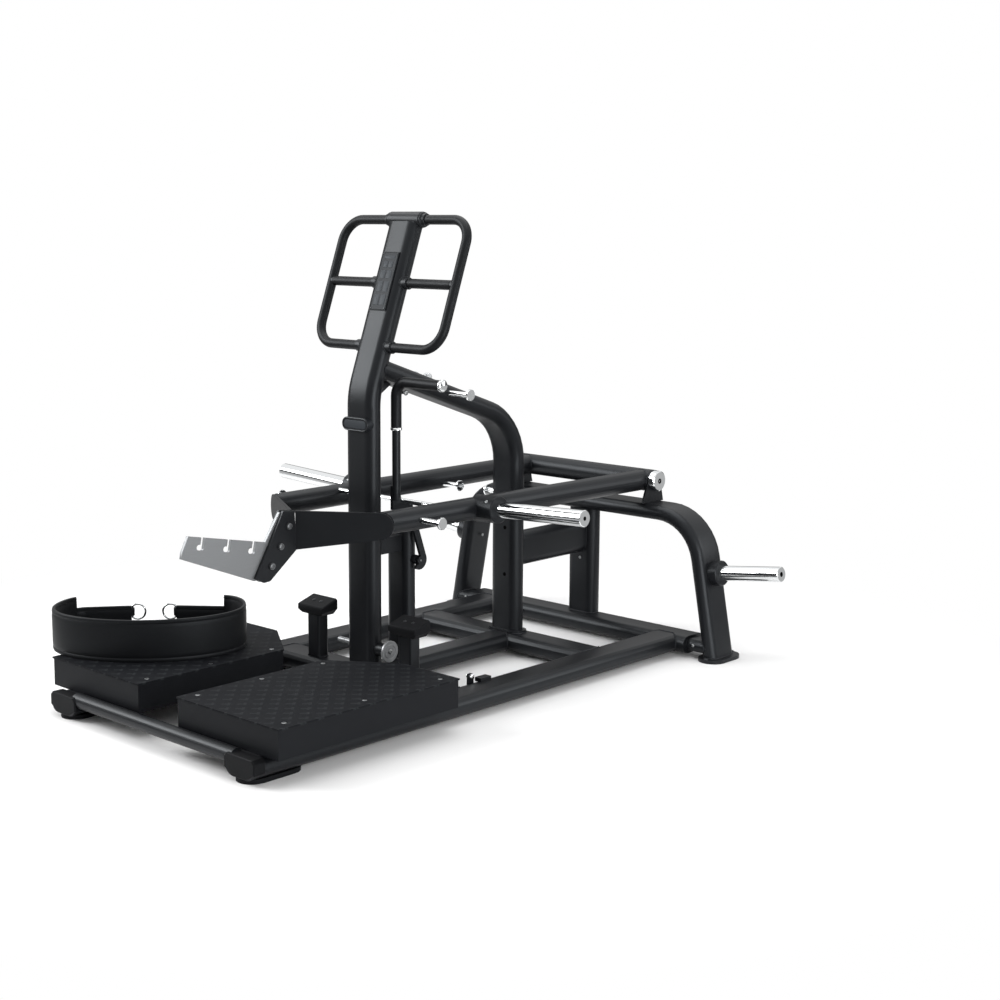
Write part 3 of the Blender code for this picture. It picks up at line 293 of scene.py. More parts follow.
@dataclass(frozen=True)
class GripCoat(Finish):
    """Deck plate under powder coat: rows of small raised lozenges that keep a shoe from slipping."""

    slot: str = "deck"
    pitch: float = 22 * MILLIMETRE
    relief: float = 0.9 * MILLIMETRE
    light: str = "222426"

    def lozenges(self, canvas: Canvas) -> NodeSocket:
        """Lozenges at two slants, alternating like a chequered plate.

        Args:
            canvas: the material to draw on.

        Returns:
            A socket that is 1 on the lozenges and 0 between them.
        """
        tree = canvas.tree
        turned_rows = []
        for turn, shift in ((45, 0.5), (-45, 0.0)):
            rotation = (0, 0, math.radians(turn))
            mapping = add_node(tree, "ShaderNodeMapping", {"Vector": canvas.place, "Rotation": rotation})
            parts = add_node(tree, "ShaderNodeSeparateXYZ", {"Vector": mapping.outputs["Vector"]})
            along = add_math(tree, "MULTIPLY_ADD", parts.outputs["X"], 1 / self.pitch, 0.0)
            across = add_math(tree, "MULTIPLY_ADD", parts.outputs["Y"], 1 / self.pitch, shift)
            wide = add_math(tree, "GREATER_THAN", add_math(tree, "PINGPONG", along, 1.0), 0.82)
            flank = {"Value": add_math(tree, "PINGPONG", across, 1.0), "From Min": 0.45, "From Max": 0.6}
            thin = add_node(tree, "ShaderNodeMapRange", flank).outputs["Result"]
            turned_rows.append(add_math(tree, "MULTIPLY", wide, thin))
        return add_math(tree, "MAXIMUM", *turned_rows)

    def pattern(self, canvas: Canvas) -> None:
        """The lozenges over a fine sandy grit.

        Args:
            canvas: the material to draw on.
        """
        lozenges = self.lozenges(canvas)
        height = add_math(canvas.tree, "MULTIPLY_ADD", canvas.noise(420.0, 3.0), 0.35, lozenges)
        canvas.vary(canvas.noise(9.0, 5.0), self.roughness - 0.08, self.roughness + 0.06)
        canvas.tint(lozenges, self.colour, self.light)
        canvas.bump(height, self.relief, 0.5)


@dataclass(frozen=True)
class Plated(Finish):
    """Plated metal, from mirror bright to satin, with fine polishing marks round the bar."""

    slot: str = "chrome"

    def pattern(self, canvas: Canvas) -> None:
        """Polishing marks stretched round the bar, which runs along X.

        Args:
            canvas: the material to draw on.
        """
        marks = canvas.noise(1.0, 2.0, (220.0, 9.0, 9.0))
        canvas.vary(marks, self.roughness * 0.7, self.roughness * 1.3)
        super().pattern(canvas)


@dataclass(frozen=True)
class Brushed(Finish):
    """Brushed sheet or machined steel: long fine scratches that pull highlights out."""

    slot: str = "stainless"
    scratch_depth: float = 0.05 * MILLIMETRE
    light: str = "b4b6b7"

    def pattern(self, canvas: Canvas) -> None:
        """Scratches along Y, drawn about 1.5 mm apart so that they show.

        Args:
            canvas: the material to draw on.
        """
        scratches = canvas.noise(1.0, 3.0, (1.0, 9.0, 650.0))
        canvas.vary(scratches, self.roughness - 0.08, self.roughness + 0.1)
        canvas.tint(scratches, self.colour, self.light)
        canvas.bump(scratches, self.scratch_depth, 0.5)


@dataclass(frozen=True)
class Grained(Finish):
    """A soft skin with a pebbled grain, such as leather, or rubber moulded in a sparked tool."""

    slot: str = "rubber"
    grain: float = 2.2 * MILLIMETRE
    depth: float = 0.0003
    uneven: float = 0.07
    light: str = "202123"
    sheen: float = 0.0

    def pattern(self, canvas: Canvas) -> None:
        """Rounded pebbles with creases between them, and a cloudy, handled gloss.

        Args:
            canvas: the material to draw on.
        """
        inputs = {"Vector": canvas.place, "Scale": 1 / self.grain}
        cells = add_node(canvas.tree, "ShaderNodeTexVoronoi", inputs, feature="F1").outputs["Distance"]
        height = add_math(canvas.tree, "MULTIPLY_ADD", canvas.noise(1.7 / self.grain, 3.0), 0.6, cells)
        cloud = canvas.noise(11.0, 4.0)
        canvas.vary(cloud, self.roughness - self.uneven, self.roughness + self.uneven)
        canvas.tint(cloud, self.colour, self.light)
        canvas.shader.inputs["Sheen Weight"].default_value = self.sheen
        canvas.bump(height, self.depth, 0.4)


FRAME_COAT = PowderCoat("satin_black_powder_coat", "0f1013", 0.36, specular=0.25, rounding=0.0012)
TRAY_COAT = PowderCoat("satin_tray_coat", "0d0e11", 0.45, specular=0.12, light="131417", rounding=0.0012)
WELD = PowderCoat("coated_weld_bead", "121316", 0.4, specular=0.3, light="191a1d")
DARK_FASTENER = PowderCoat("black_oxide_fastener", "17181a", 0.35, specular=0.4)
BARE_PLATE = PowderCoat(
    "satin_bare_plate", "17191c", 0.45, slot="bare_plate", specular=0.17, light="1c1e21", rounding=0.0005
)
PLATE_RIM = PowderCoat("raised_plate_rim", "17181a", 0.35, slot="bare_plate", specular=0.3, light="1d1e20")
PLATE_FIELD = PowderCoat(
    "bare_raised_field", "2f3236", 0.45, slot="bare_plate", specular=0.2, light="363a3e"
)
DECK_COAT = GripCoat("chequered_deck_powder_coat", "121316", 0.6, specular=0.08, rounding=0.001)
CHROME = Plated("polished_chrome_plate", "e8eaeb", 0.07, metallic=1.0)
SATIN_PLATE = Plated("satin_zinc_plate", "8e9092", 0.42, metallic=0.6)
SATIN_NICKEL = Plated("satin_nickel_knob", "bfc1c3", 0.4, metallic=0.5)
STEEL_RING = Plated("nickel_plated_ring", "c4c6c7", 0.16, metallic=1.0)
STAINLESS = Brushed("brushed_stainless_sheet", "7d7f81", 0.45, metallic=0.7, light="8b8d8f", rounding=0.0006)
FASTENER = Brushed("zinc_plated_fastener", "7c7f80", 0.3, metallic=1.0)
BLACKENED = Brushed("blackened_steel_bolt", "67696b", 0.34, metallic=0.8, light="77797b")
RUBBER = Grained("moulded_black_rubber", "0b0b0d", 0.6, specular=0.12, light="101012", rounding=0.0015)
GRIP_RUBBER = Grained("ribbed_grip_rubber", "0b0b0c", 0.45, specular=0.2, light="101012")
PLASTIC = Grained("moulded_black_plastic", "0a0a0b", 0.5, specular=0.12, light="0e0e10", rounding=0.001)
# Flat black with no reflection at all: painted shade, used in the upright holes and on the plugs in the
# sleeve and pivot ends.
SHADOW = Grained("dark_plastic_plug", "050505", 0.9, specular=0.0, light="080808")
LEATHER = Grained(
    "padded_black_leather", "0c0d0f", 0.48, slot="belt", specular=0.16, light="101113", sheen=0.03
)
WEBBING = Grained(
    "woven_edge_binding", "0d0d0f", 0.75, slot="belt", specular=0.15, grain=1.6 * MILLIMETRE, light="131416"
)
THREAD = Grained(
    "waxed_thread", "16171a", 0.6, slot="belt", specular=0.2, grain=0.8 * MILLIMETRE, light="1c1d20"
)


# Mesh tools


def as_mesh(name: str, bm: BMesh) -> bpy.types.Mesh:
    """Turns an edit mesh, which is used up, into a plain one.

    Args:
        name: the new mesh's name.
        bm: the edit mesh.

    Returns:
        The plain mesh.
    """
    mesh = bpy.data.meshes.new(name)
    bm.to_mesh(mesh)
    bm.free()
    return mesh


def to_scene(name: str, data: bpy.types.ID) -> Object:
    """Stands an object with the given data in the scene.

    Args:
        name: the object's name.
        data: its mesh, lamp or camera.

    Returns:
        The new object.
    """
    made = bpy.data.objects.new(name, data)
    bpy.context.scene.collection.objects.link(made)
    return made


def end_tree(tree: NodeTree, start: Node, geometry: NodeSocket) -> None:
    """Makes real meshes of what a geometry tree made, gives them its Material input and puts them out.

    Args:
        tree: the geometry tree.
        start: its input node.
        geometry: what it made.
    """
    real = add_node(tree, "GeometryNodeRealizeInstances", {"Geometry": geometry})
    inputs = {"Geometry": real.outputs[0], "Material": start.outputs["Material"]}
    done = add_node(tree, "GeometryNodeSetMaterial", inputs)
    add_node(tree, "NodeGroupOutput", {"Geometry": done.outputs[0]})


class Shop:
    """Holds the frame and makes finished pieces of it."""

    def __init__(self, frame: dict) -> None:
        """Keeps the frame's nodes and starts an empty list of geometry trees.
        """
        self.nodes: dict[str, Object] = frame["nodes"]
        self.trees: dict[str, NodeTree] = {}

    def piece(
        self,
        name: str,
        skin: BMesh | bpy.types.Mesh,
        finish: Finish,
        body: Body,
        replaces: tuple[str, ...] = (),
        crease: float = 35.0,
        bevel: float = 0.0,
    ) -> Object:
        """Turns a mesh in world places into a finished piece that rides on a body.

        Args:
            name: the piece's name.
            skin: its mesh, or an edit mesh, which is used up.
            finish: its finish.
            body: the body that it rides on.
            replaces: CAD nodes that it stands for.
            crease: edges over this angle stay sharp, in degrees.
            bevel: width of a rounding on sharp edges.

        Returns:
            The new object.
        """
        mesh = skin
        if isinstance(skin, BMesh):
            bmesh.ops.recalc_face_normals(skin, faces=skin.faces)
            mesh = as_mesh(name, skin)
        mesh.shade_smooth()
        mesh.set_sharp_from_angle(angle=math.radians(crease))
        mesh.materials.clear()
        mesh.materials.append(finish.material())
        made = to_scene(name, mesh)
        if bevel:
            step = made.modifiers.new("rounding", "BEVEL")
            step.width = bevel
            step.segments = 2
            step.limit_method = "ANGLE"
            step.angle_limit = math.radians(crease)
            step.harden_normals = True
        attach(made, body.value)
        if replaces:
            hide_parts(*replaces)
        LOG.info("%s on %s, %d faces", name, body.value, len(mesh.polygons))
        return made

    def tree(self, name: str, sockets: dict[str, float | str]) -> tuple[NodeTree, Node | None]:
        """A geometry tree by name, begun with its inputs when it is new.

        Args:
            name: the tree's name.
            sockets: input name to a number, or to a socket type that isn't a number's.

        Returns:
            The tree, with its input node where it still has to be built.
        """
        if name in self.trees:
            return self.trees[name], None
        made = bpy.data.node_groups.new(name, "GeometryNodeTree")
        made.interface.new_socket("Geometry", in_out="INPUT", socket_type="NodeSocketGeometry")
        made.interface.new_socket("Geometry", in_out="OUTPUT", socket_type="NodeSocketGeometry")
        for label, value in sockets.items():
            kind = value if isinstance(value, str) else "NodeSocketFloat"
            item = made.interface.new_socket(label, in_out="INPUT", socket_type=kind)
            if kind == "NodeSocketFloat":
                item.default_value = value
        self.trees[name] = made
        return made, add_node(made, "NodeGroupInput")

    def grown(self, name: str, mesh: bpy.types.Mesh, tree: NodeTree, values: dict) -> bpy.types.Mesh:
        """Runs a geometry tree on a mesh and returns the plain mesh that comes out.

        Args:
            name: the result's name.
            mesh: what goes in.
            tree: the geometry tree.
            values: input name to value.

        Returns:
            The evaluated mesh.
        """
        holder = to_scene(name, mesh)
        step = holder.modifiers.new(name, "NODES")
        step.node_group = tree
        for item in tree.interface.items_tree:
            if item.item_type == "SOCKET" and item.in_out == "INPUT" and item.name in values:
                step[item.identifier] = values[item.name]
        bpy.context.view_layer.update()
        graph = bpy.context.evaluated_depsgraph_get()
        out = bpy.data.meshes.new_from_object(holder.evaluated_get(graph))
        bpy.data.objects.remove(holder)
        return out


def ring(radius: float, steps: int) -> Outline:
    """Points round a circle."""
    turn = 2 * math.pi / steps
    return [(radius * math.cos(turn * i), radius * math.sin(turn * i)) for i in range(steps)]


def oval(width: float, thick: float, steps: int = 12) -> Outline:
    """A flat oval of two half circles and two flats.

    Args:
        width: its longer size.
        thick: its shorter one.
        steps: pieces to each half circle.

    Returns:
        Its points, with the place along the width first.
    """
    radius, reach = thick / 2, width / 2 - thick / 2
    points = []
    for side in (1, -1):
        for i in range(steps + 1):
            angle = math.pi * (i / steps - 0.5)
            points.append((side * (reach + radius * math.cos(angle)), side * radius * math.sin(angle)))
    return points


def lay_faces(bm: BMesh, first: list[BMVert], second: list[BMVert]) -> None:
    """Lays a band of faces between two closed rows of points, or between a row and a single point.

    Args:
        bm: the mesh that takes the faces.
        first: one row.
        second: the other row.
    """
    count = max(len(first), len(second))
    for i in range(count):
        j = (i + 1) % count
        if len(first) == 1:
            bm.faces.new((first[0], second[j], second[i]))
        elif len(second) == 1:
            bm.faces.new((first[i], first[j], second[0]))
        else:
            bm.faces.new((first[i], first[j], second[j], second[i]))


def bridged(rings: list[list[Vector]], closed: bool = False, caps: bool = True) -> BMesh:
    """A skin over a list of rings with the same number of points.

    Args:
        rings: the rings in order.
        closed: whether the last ring joins the first.
        caps: whether an open run gets a face at each end.

    Returns:
        The skin.
    """
    bm = bmesh.new()
    rows = [[bm.verts.new(point) for point in points] for points in rings]
    pairs = list(zip(rows, rows[1:])) + ([(rows[-1], rows[0])] if closed else [])
    for first, second in pairs:
        lay_faces(bm, first, second)
    if caps and not closed:
        bm.faces.new(rows[0][::-1])
        bm.faces.new(rows[-1])
    return bm


def turned(start: Vector, axis: Vector, profile: Outline, steps: int = 48) -> BMesh:
    """A turned solid.

    Args:
        start: where the axis starts.
        axis: its direction.
        profile: distance along the axis and radius, from the axis back to the axis.
        steps: points round the axis.

    Returns:
        The solid.
    """
    axis = axis.normalized()
    side = axis.orthogonal().normalized()
    other = axis.cross(side)
    bm = bmesh.new()
    rows = []
    for along, radius in profile:
        centre = start + axis * along
        if not radius:
            rows.append([bm.verts.new(centre)])
            continue
        rows.append([bm.verts.new(centre + side * a + other * b) for a, b in ring(radius, steps)])
    for first, second in zip(rows, rows[1:]):
        lay_faces(bm, first, second)
    return bm


def swept(path: list[Vector], section: Outline, across: Vector) -> list[list[Vector]]:
    """Rings of a section swept along a flat path.

    Args:
        path: the path's points.
        section: the section, whose first number lies along across.
        across: direction square to the path's plane.

    Returns:
        One ring to each point.
    """
    across = across.normalized()
    rings = []
    for i, point in enumerate(path):
        before = (point - path[i - 1]).normalized() if i else (path[1] - point).normalized()
        after = (path[i + 1] - point).normalized() if i < len(path) - 1 else before
        along = (before + after).normalized()
        stretch = 1 / max(0.2, along.dot(before))
        side = along.cross(across)
        rings.append([point + across * a + side * (b * stretch) for a, b in section])
    return rings


def rounded_path(points: list[Vector], radius: float, steps: int) -> list[Vector]:
    """A path with each inner corner turned into an arc.

    Args:
        points: the path's corners.
        radius: the arcs' radius.
        steps: pieces to each arc.

    Returns:
        The points of the rounded path.
    """
    out = [points[0]]
    for before, corner, after in zip(points, points[1:], points[2:]):
        to_before, to_after = (before - corner).normalized(), (after - corner).normalized()
        half = to_before.angle(to_after) / 2
        centre = corner + (to_before + to_after).normalized() * (radius / math.sin(half))
        start = corner + to_before * (radius / math.tan(half)) - centre
        axis = to_before.cross(to_after)
        for i in range(steps + 1):
            out.append(centre + Matrix.Rotation(-(math.pi - 2 * half) * i / steps, 3, axis) @ start)
    return out + [points[-1]]


def slab(outline: list[Vector], depth: Vector) -> BMesh:
    """A flat outline given thickness."""
    return bridged([outline, [point + depth for point in outline]])


def joined(parts: list[BMesh]) -> BMesh:
    """Joins several edit meshes, which are used up.

    Args:
        parts: the meshes.

    Returns:
        The mesh of them all.
    """
    out = bmesh.new()
    for part in parts:
        mesh = as_mesh("part", part)
        out.from_mesh(mesh)
        bpy.data.meshes.remove(mesh)
    return out


# Work on the CAD nodes that stay


@dataclass
class CadDresser:
    """Gives each CAD node that stays its finish and the smooth shading of a real tube."""

    shop: Shop
    finishes: dict[str, Finish]
    crease: float = 34.0
    merge: float = 0.00001

    def shading_tree(self) -> NodeTree:
        """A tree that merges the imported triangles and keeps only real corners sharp.

        Returns:
            The tree.
        """
        limits = {"Merge Distance": self.merge, "Crease": math.radians(self.crease)}
        tree, start = self.shop.tree("tube_shading", limits)
        if start is None:
            return tree
        inputs = {"Geometry": start.outputs["Geometry"], "Name": "custom_normal"}
        plain = add_node(tree, "GeometryNodeRemoveAttribute", inputs)
        inputs = {"Geometry": plain.outputs[0], "Distance": start.outputs["Merge Distance"]}
        merged = add_node(tree, "GeometryNodeMergeByDistance", inputs)
        faces = add_node(tree, "GeometryNodeSetShadeSmooth", {"Geometry": merged.outputs[0]}, domain="FACE")
        edges = add_node(tree, "GeometryNodeSetShadeSmooth", {"Geometry": faces.outputs[0]}, domain="EDGE")
        angle = add_node(tree, "GeometryNodeInputMeshEdgeAngle").outputs["Unsigned Angle"]
        inputs = {0: angle, 1: start.outputs["Crease"]}
        sharp = add_node(tree, "FunctionNodeCompare", inputs, operation="GREATER_THAN")
        inputs = {"Geometry": edges.outputs[0], "Selection": sharp.outputs[0], "Shade Smooth": False}
        done = add_node(tree, "GeometryNodeSetShadeSmooth", inputs, domain="EDGE")
        add_node(tree, "NodeGroupOutput", {"Geometry": done.outputs[0]})
        return tree

    def finish_for(self, name: str) -> Finish:
        """The finish of a node."""
        return self.finishes.get(name, FRAME_COAT)

    def build(self, skip: set[str]) -> None:
        """Dresses every node but those that a piece replaces.

        Args:
            skip: names of replaced nodes.
        """
        tree = self.shading_tree()
        for name, node in self.shop.nodes.items():
            if name in skip:
                continue
            for material_slot in node.material_slots:
                material_slot.material = self.finish_for(name).material()
            node.modifiers.new("tube shading", "NODES").node_group = tree
            node.modifiers.new("flat shading", "WEIGHTED_NORMAL").keep_sharp = True
        LOG.info("dressed %d CAD nodes", len(self.shop.nodes) - len(skip))


@dataclass
class Welder:
    """Lays a coated fillet bead where the coped end of one node meets another."""

    shop: Shop
    radius: float = 2.6 * MILLIMETRE
    ripple: float = 4.0 * MILLIMETRE
    swell: float = 0.12
    reach: float = 0.9 * MILLIMETRE
    corner: float = math.radians(28)

    def bead_tree(self) -> NodeTree:
        """A tree that turns edges into a bead whose width ripples like stacked weld pools.

        Returns:
            The tree.
        """
        sockets = {"Radius": self.radius, "Step": self.ripple / 4, "Material": "NodeSocketMaterial"}
        tree, start = self.shop.tree("weld_bead", sockets)
        if start is None:
            return tree
        curve = add_node(tree, "GeometryNodeMeshToCurve", {"Mesh": start.outputs["Geometry"]})
        inputs = {"Curve": curve.outputs[0], "Length": start.outputs["Step"]}
        even = add_node(tree, "GeometryNodeResampleCurve", inputs, mode="LENGTH")
        index = add_node(tree, "GeometryNodeInputIndex").outputs[0]
        wave = add_math(tree, "SINE", add_math(tree, "MULTIPLY", index, math.pi / 2))
        swell = add_math(tree, "MULTIPLY_ADD", wave, self.swell, 1.0)
        circle = add_node(tree, "GeometryNodeCurvePrimitiveCircle", {"Resolution": 8, "Radius": 1.0})
        inputs = {"Curve": even.outputs[0], "Profile Curve": circle.outputs[0], "Fill Caps": True}
        inputs["Scale"] = add_math(tree, "MULTIPLY", swell, start.outputs["Radius"])
        skin = add_node(tree, "GeometryNodeCurveToMesh", inputs)
        end_tree(tree, start, skin.outputs[0])
        return tree

    def seam(self, coped: str, carrier: str) -> BMesh | None:
        """The sharp edges of one node that lie on another.

        Args:
            coped: the node whose end was cut.
            carrier: the node that it meets.

        Returns:
            A mesh of those edges, or None where there are none.
        """
        target = bmesh.new()
        target.from_mesh(self.shop.nodes[carrier].data)
        tree = BVHTree.FromBMesh(target)
        source = bmesh.new()
        source.from_mesh(self.shop.nodes[coped].data)
        bmesh.ops.remove_doubles(source, verts=source.verts, dist=0.00001)
        keep = []
        for edge in source.edges:
            if len(edge.link_faces) != 2 or edge.calc_face_angle(0) < self.corner:
                continue
            hits = [tree.find_nearest(vert.co, self.reach)[0] for vert in edge.verts]
            if all(hit is not None for hit in hits):
                keep.append(tuple(vert.co.copy() for vert in edge.verts))
        source.free()
        target.free()
        if not keep:
            return None
        out = bmesh.new()
        for first, second in keep:
            out.edges.new((out.verts.new(first), out.verts.new(second)))
        bmesh.ops.remove_doubles(out, verts=out.verts, dist=0.00002)
        return out

    def build(self, name: str, pairs: list[tuple[str, str]], body: Body) -> Object:
        """Makes one piece of all the beads between the given pairs of nodes.

        Args:
            name: the piece's name.
            pairs: coped node and carrier node.
            body: the body that both ride on.

        Returns:
            The new piece.
        """
        seams = [found for found in (self.seam(*pair) for pair in pairs) if found is not None]
        edges = as_mesh(name, joined(seams))
        beads = self.shop.grown(name, edges, self.bead_tree(), {"Material": WELD.material()})
        return self.shop.piece(name, beads, WELD, body, crease=60)


# Fasteners


class Head(Enum):
    """Kinds of fastener head: radius, height, recess radius, in millimetres."""

    COUNTERSUNK = (7.0, 0.7, 2.6)
    BUTTON = (8.5, 4.5, 2.9)
    SMALL_BUTTON = (5.5, 2.8, 2.0)
    RIVET = (3.2, 1.3, 0.0)
    FLANGE = (9.6, 7.4, 4.8)
    PLUG = (9.0, 0.9, 3.4)
    # HOLE is a thin flat disc that carries painted shade where a hole is.
    HOLE = (6.5, 0.25, 0.0)


@dataclass
class Fasteners:
    """Screws, rivets and bolt heads, set out as points and made by one tree."""

    shop: Shop

    def head_mesh(self, head: Head) -> bpy.types.Mesh:
        """One fastener head standing on the origin, with a hexagon recess where it has one.

        Args:
            head: the kind of head.

        Returns:
            Its mesh.
        """
        radius, height, recess = (value * MILLIMETRE for value in head.value)
        steps = 24
        foot = -0.3 * MILLIMETRE
        rows = []
        for z, share in ((foot, 1.0), (height * 0.25, 1.0), (height * 0.72, 0.88), (height, 0.62)):
            rows.append([Vector((a, b, z)) for a, b in ring(radius * share, steps)])
        bm = bridged(rows, caps=False)
        bm.faces.new([vert for vert in bm.verts if abs(vert.co.z - foot) < 1e-7][::-1])
        top = [vert for vert in bm.verts if abs(vert.co.z - height) < 1e-7]
        if not recess:
            bm.faces.new(top)
        else:
            corner = math.pi / 3
            inner = []
            for i in range(steps):
                angle = 2 * math.pi * i / steps
                reach = recess * math.cos(corner / 2) / math.cos(angle % corner - corner / 2)
                inner.append((reach * math.cos(angle), reach * math.sin(angle)))
            upper = [bm.verts.new((a, b, height)) for a, b in inner]
            depth = height - max(1.6 * MILLIMETRE, height * 0.5)
            lower = [bm.verts.new((a, b, depth)) for a, b in inner]
            lay_faces(bm, top, upper)
            lay_faces(bm, upper, lower)
            bm.faces.new(lower)
        bmesh.ops.recalc_face_normals(bm, faces=bm.faces)
        mesh = as_mesh(f"head_{head.name.lower()}", bm)
        mesh.shade_smooth()
        mesh.set_sharp_from_angle(angle=math.radians(40))
        return mesh

    def tree(self) -> NodeTree:
        """A tree that stands a head on every point, along the point's stored direction.

        Returns:
            The tree.
        """
        sockets = {"Head": "NodeSocketObject", "Scale": 1.0, "Material": "NodeSocketMaterial"}
        tree, start = self.shop.tree("fastener_heads", sockets)
        if start is None:
            return tree
        inputs = {"Object": start.outputs["Head"], "As Instance": True}
        head = add_node(tree, "GeometryNodeObjectInfo", inputs)
        points = add_node(tree, "GeometryNodeMeshToPoints", {"Mesh": start.outputs["Geometry"]})
        inputs = {"Name": "facing"}
        stored = add_node(tree, "GeometryNodeInputNamedAttribute", inputs, data_type="FLOAT_VECTOR")
        turn = add_node(tree, "FunctionNodeAlignRotationToVector", {"Vector": stored.outputs[0]}, axis="Z")
        inputs = {"Points": points.outputs[0], "Instance": head.outputs["Geometry"]}
        inputs |= {"Rotation": turn.outputs[0], "Scale": start.outputs["Scale"]}
        placed = add_node(tree, "GeometryNodeInstanceOnPoints", inputs)
        end_tree(tree, start, placed.outputs[0])
        return tree

    def build(
        self, name: str, head: Head, places: list[tuple[Vector, Vector]], finish: Finish, body: Body
    ) -> Object:
        """Sets one kind of head at each place.

        Args:
            name: the piece's name.
            head: the kind of head.
            places: point and outward direction of each.
            finish: the heads' finish.
            body: the body that they ride on.

        Returns:
            The new piece.
        """
        mesh = bpy.data.meshes.new(name)
        mesh.from_pydata([tuple(point) for point, _ in places], [], [])
        facing = mesh.attributes.new("facing", "FLOAT_VECTOR", "POINT")
        for item, (_, direction) in zip(facing.data, places):
            item.vector = direction
        sample = bpy.data.objects.new("head_sample", self.head_mesh(head))
        heads = self.shop.grown(name, mesh, self.tree(), {"Head": sample, "Material": finish.material()})
        bpy.data.objects.remove(sample)
        return self.shop.piece(name, heads, finish, body, crease=40)


# Sub-assemblies


def tube_ring(points: list[Vector], normal: Vector, radius: float, steps: int = 8) -> BMesh:
    """A round bead along a closed flat outline.

    Args:
        points: the outline.
        normal: direction square to its plane.
        radius: the bead's radius.
        steps: points round the bead.

    Returns:
        The bead.
    """
    rings = []
    count = len(points)
    for i, point in enumerate(points):
        along = (points[(i + 1) % count] - points[i - 1]).normalized()
        side = along.cross(normal)
        rings.append([point + side * a + normal * b for a, b in ring(radius, steps)])
    return bridged(rings, closed=True)


def rounded_box(width: float, depth: float, radius: float, steps: int = 5) -> Outline:
    """A rectangle with round corners, counter-clockwise about the origin.

    Args:
        width: its first size.
        depth: its second size.
        radius: the corners' radius.
        steps: pieces to each corner.

    Returns:
        Its points.
    """
    points = []
    for sign_a, sign_b, first in ((1, 1, 0), (-1, 1, 90), (-1, -1, 180), (1, -1, 270)):
        for i in range(steps + 1):
            angle = math.radians(first + 90 * i / steps)
            a = sign_a * (width / 2 - radius) + radius * math.cos(angle)
            points.append((a, sign_b * (depth / 2 - radius) + radius * math.sin(angle)))
    return points


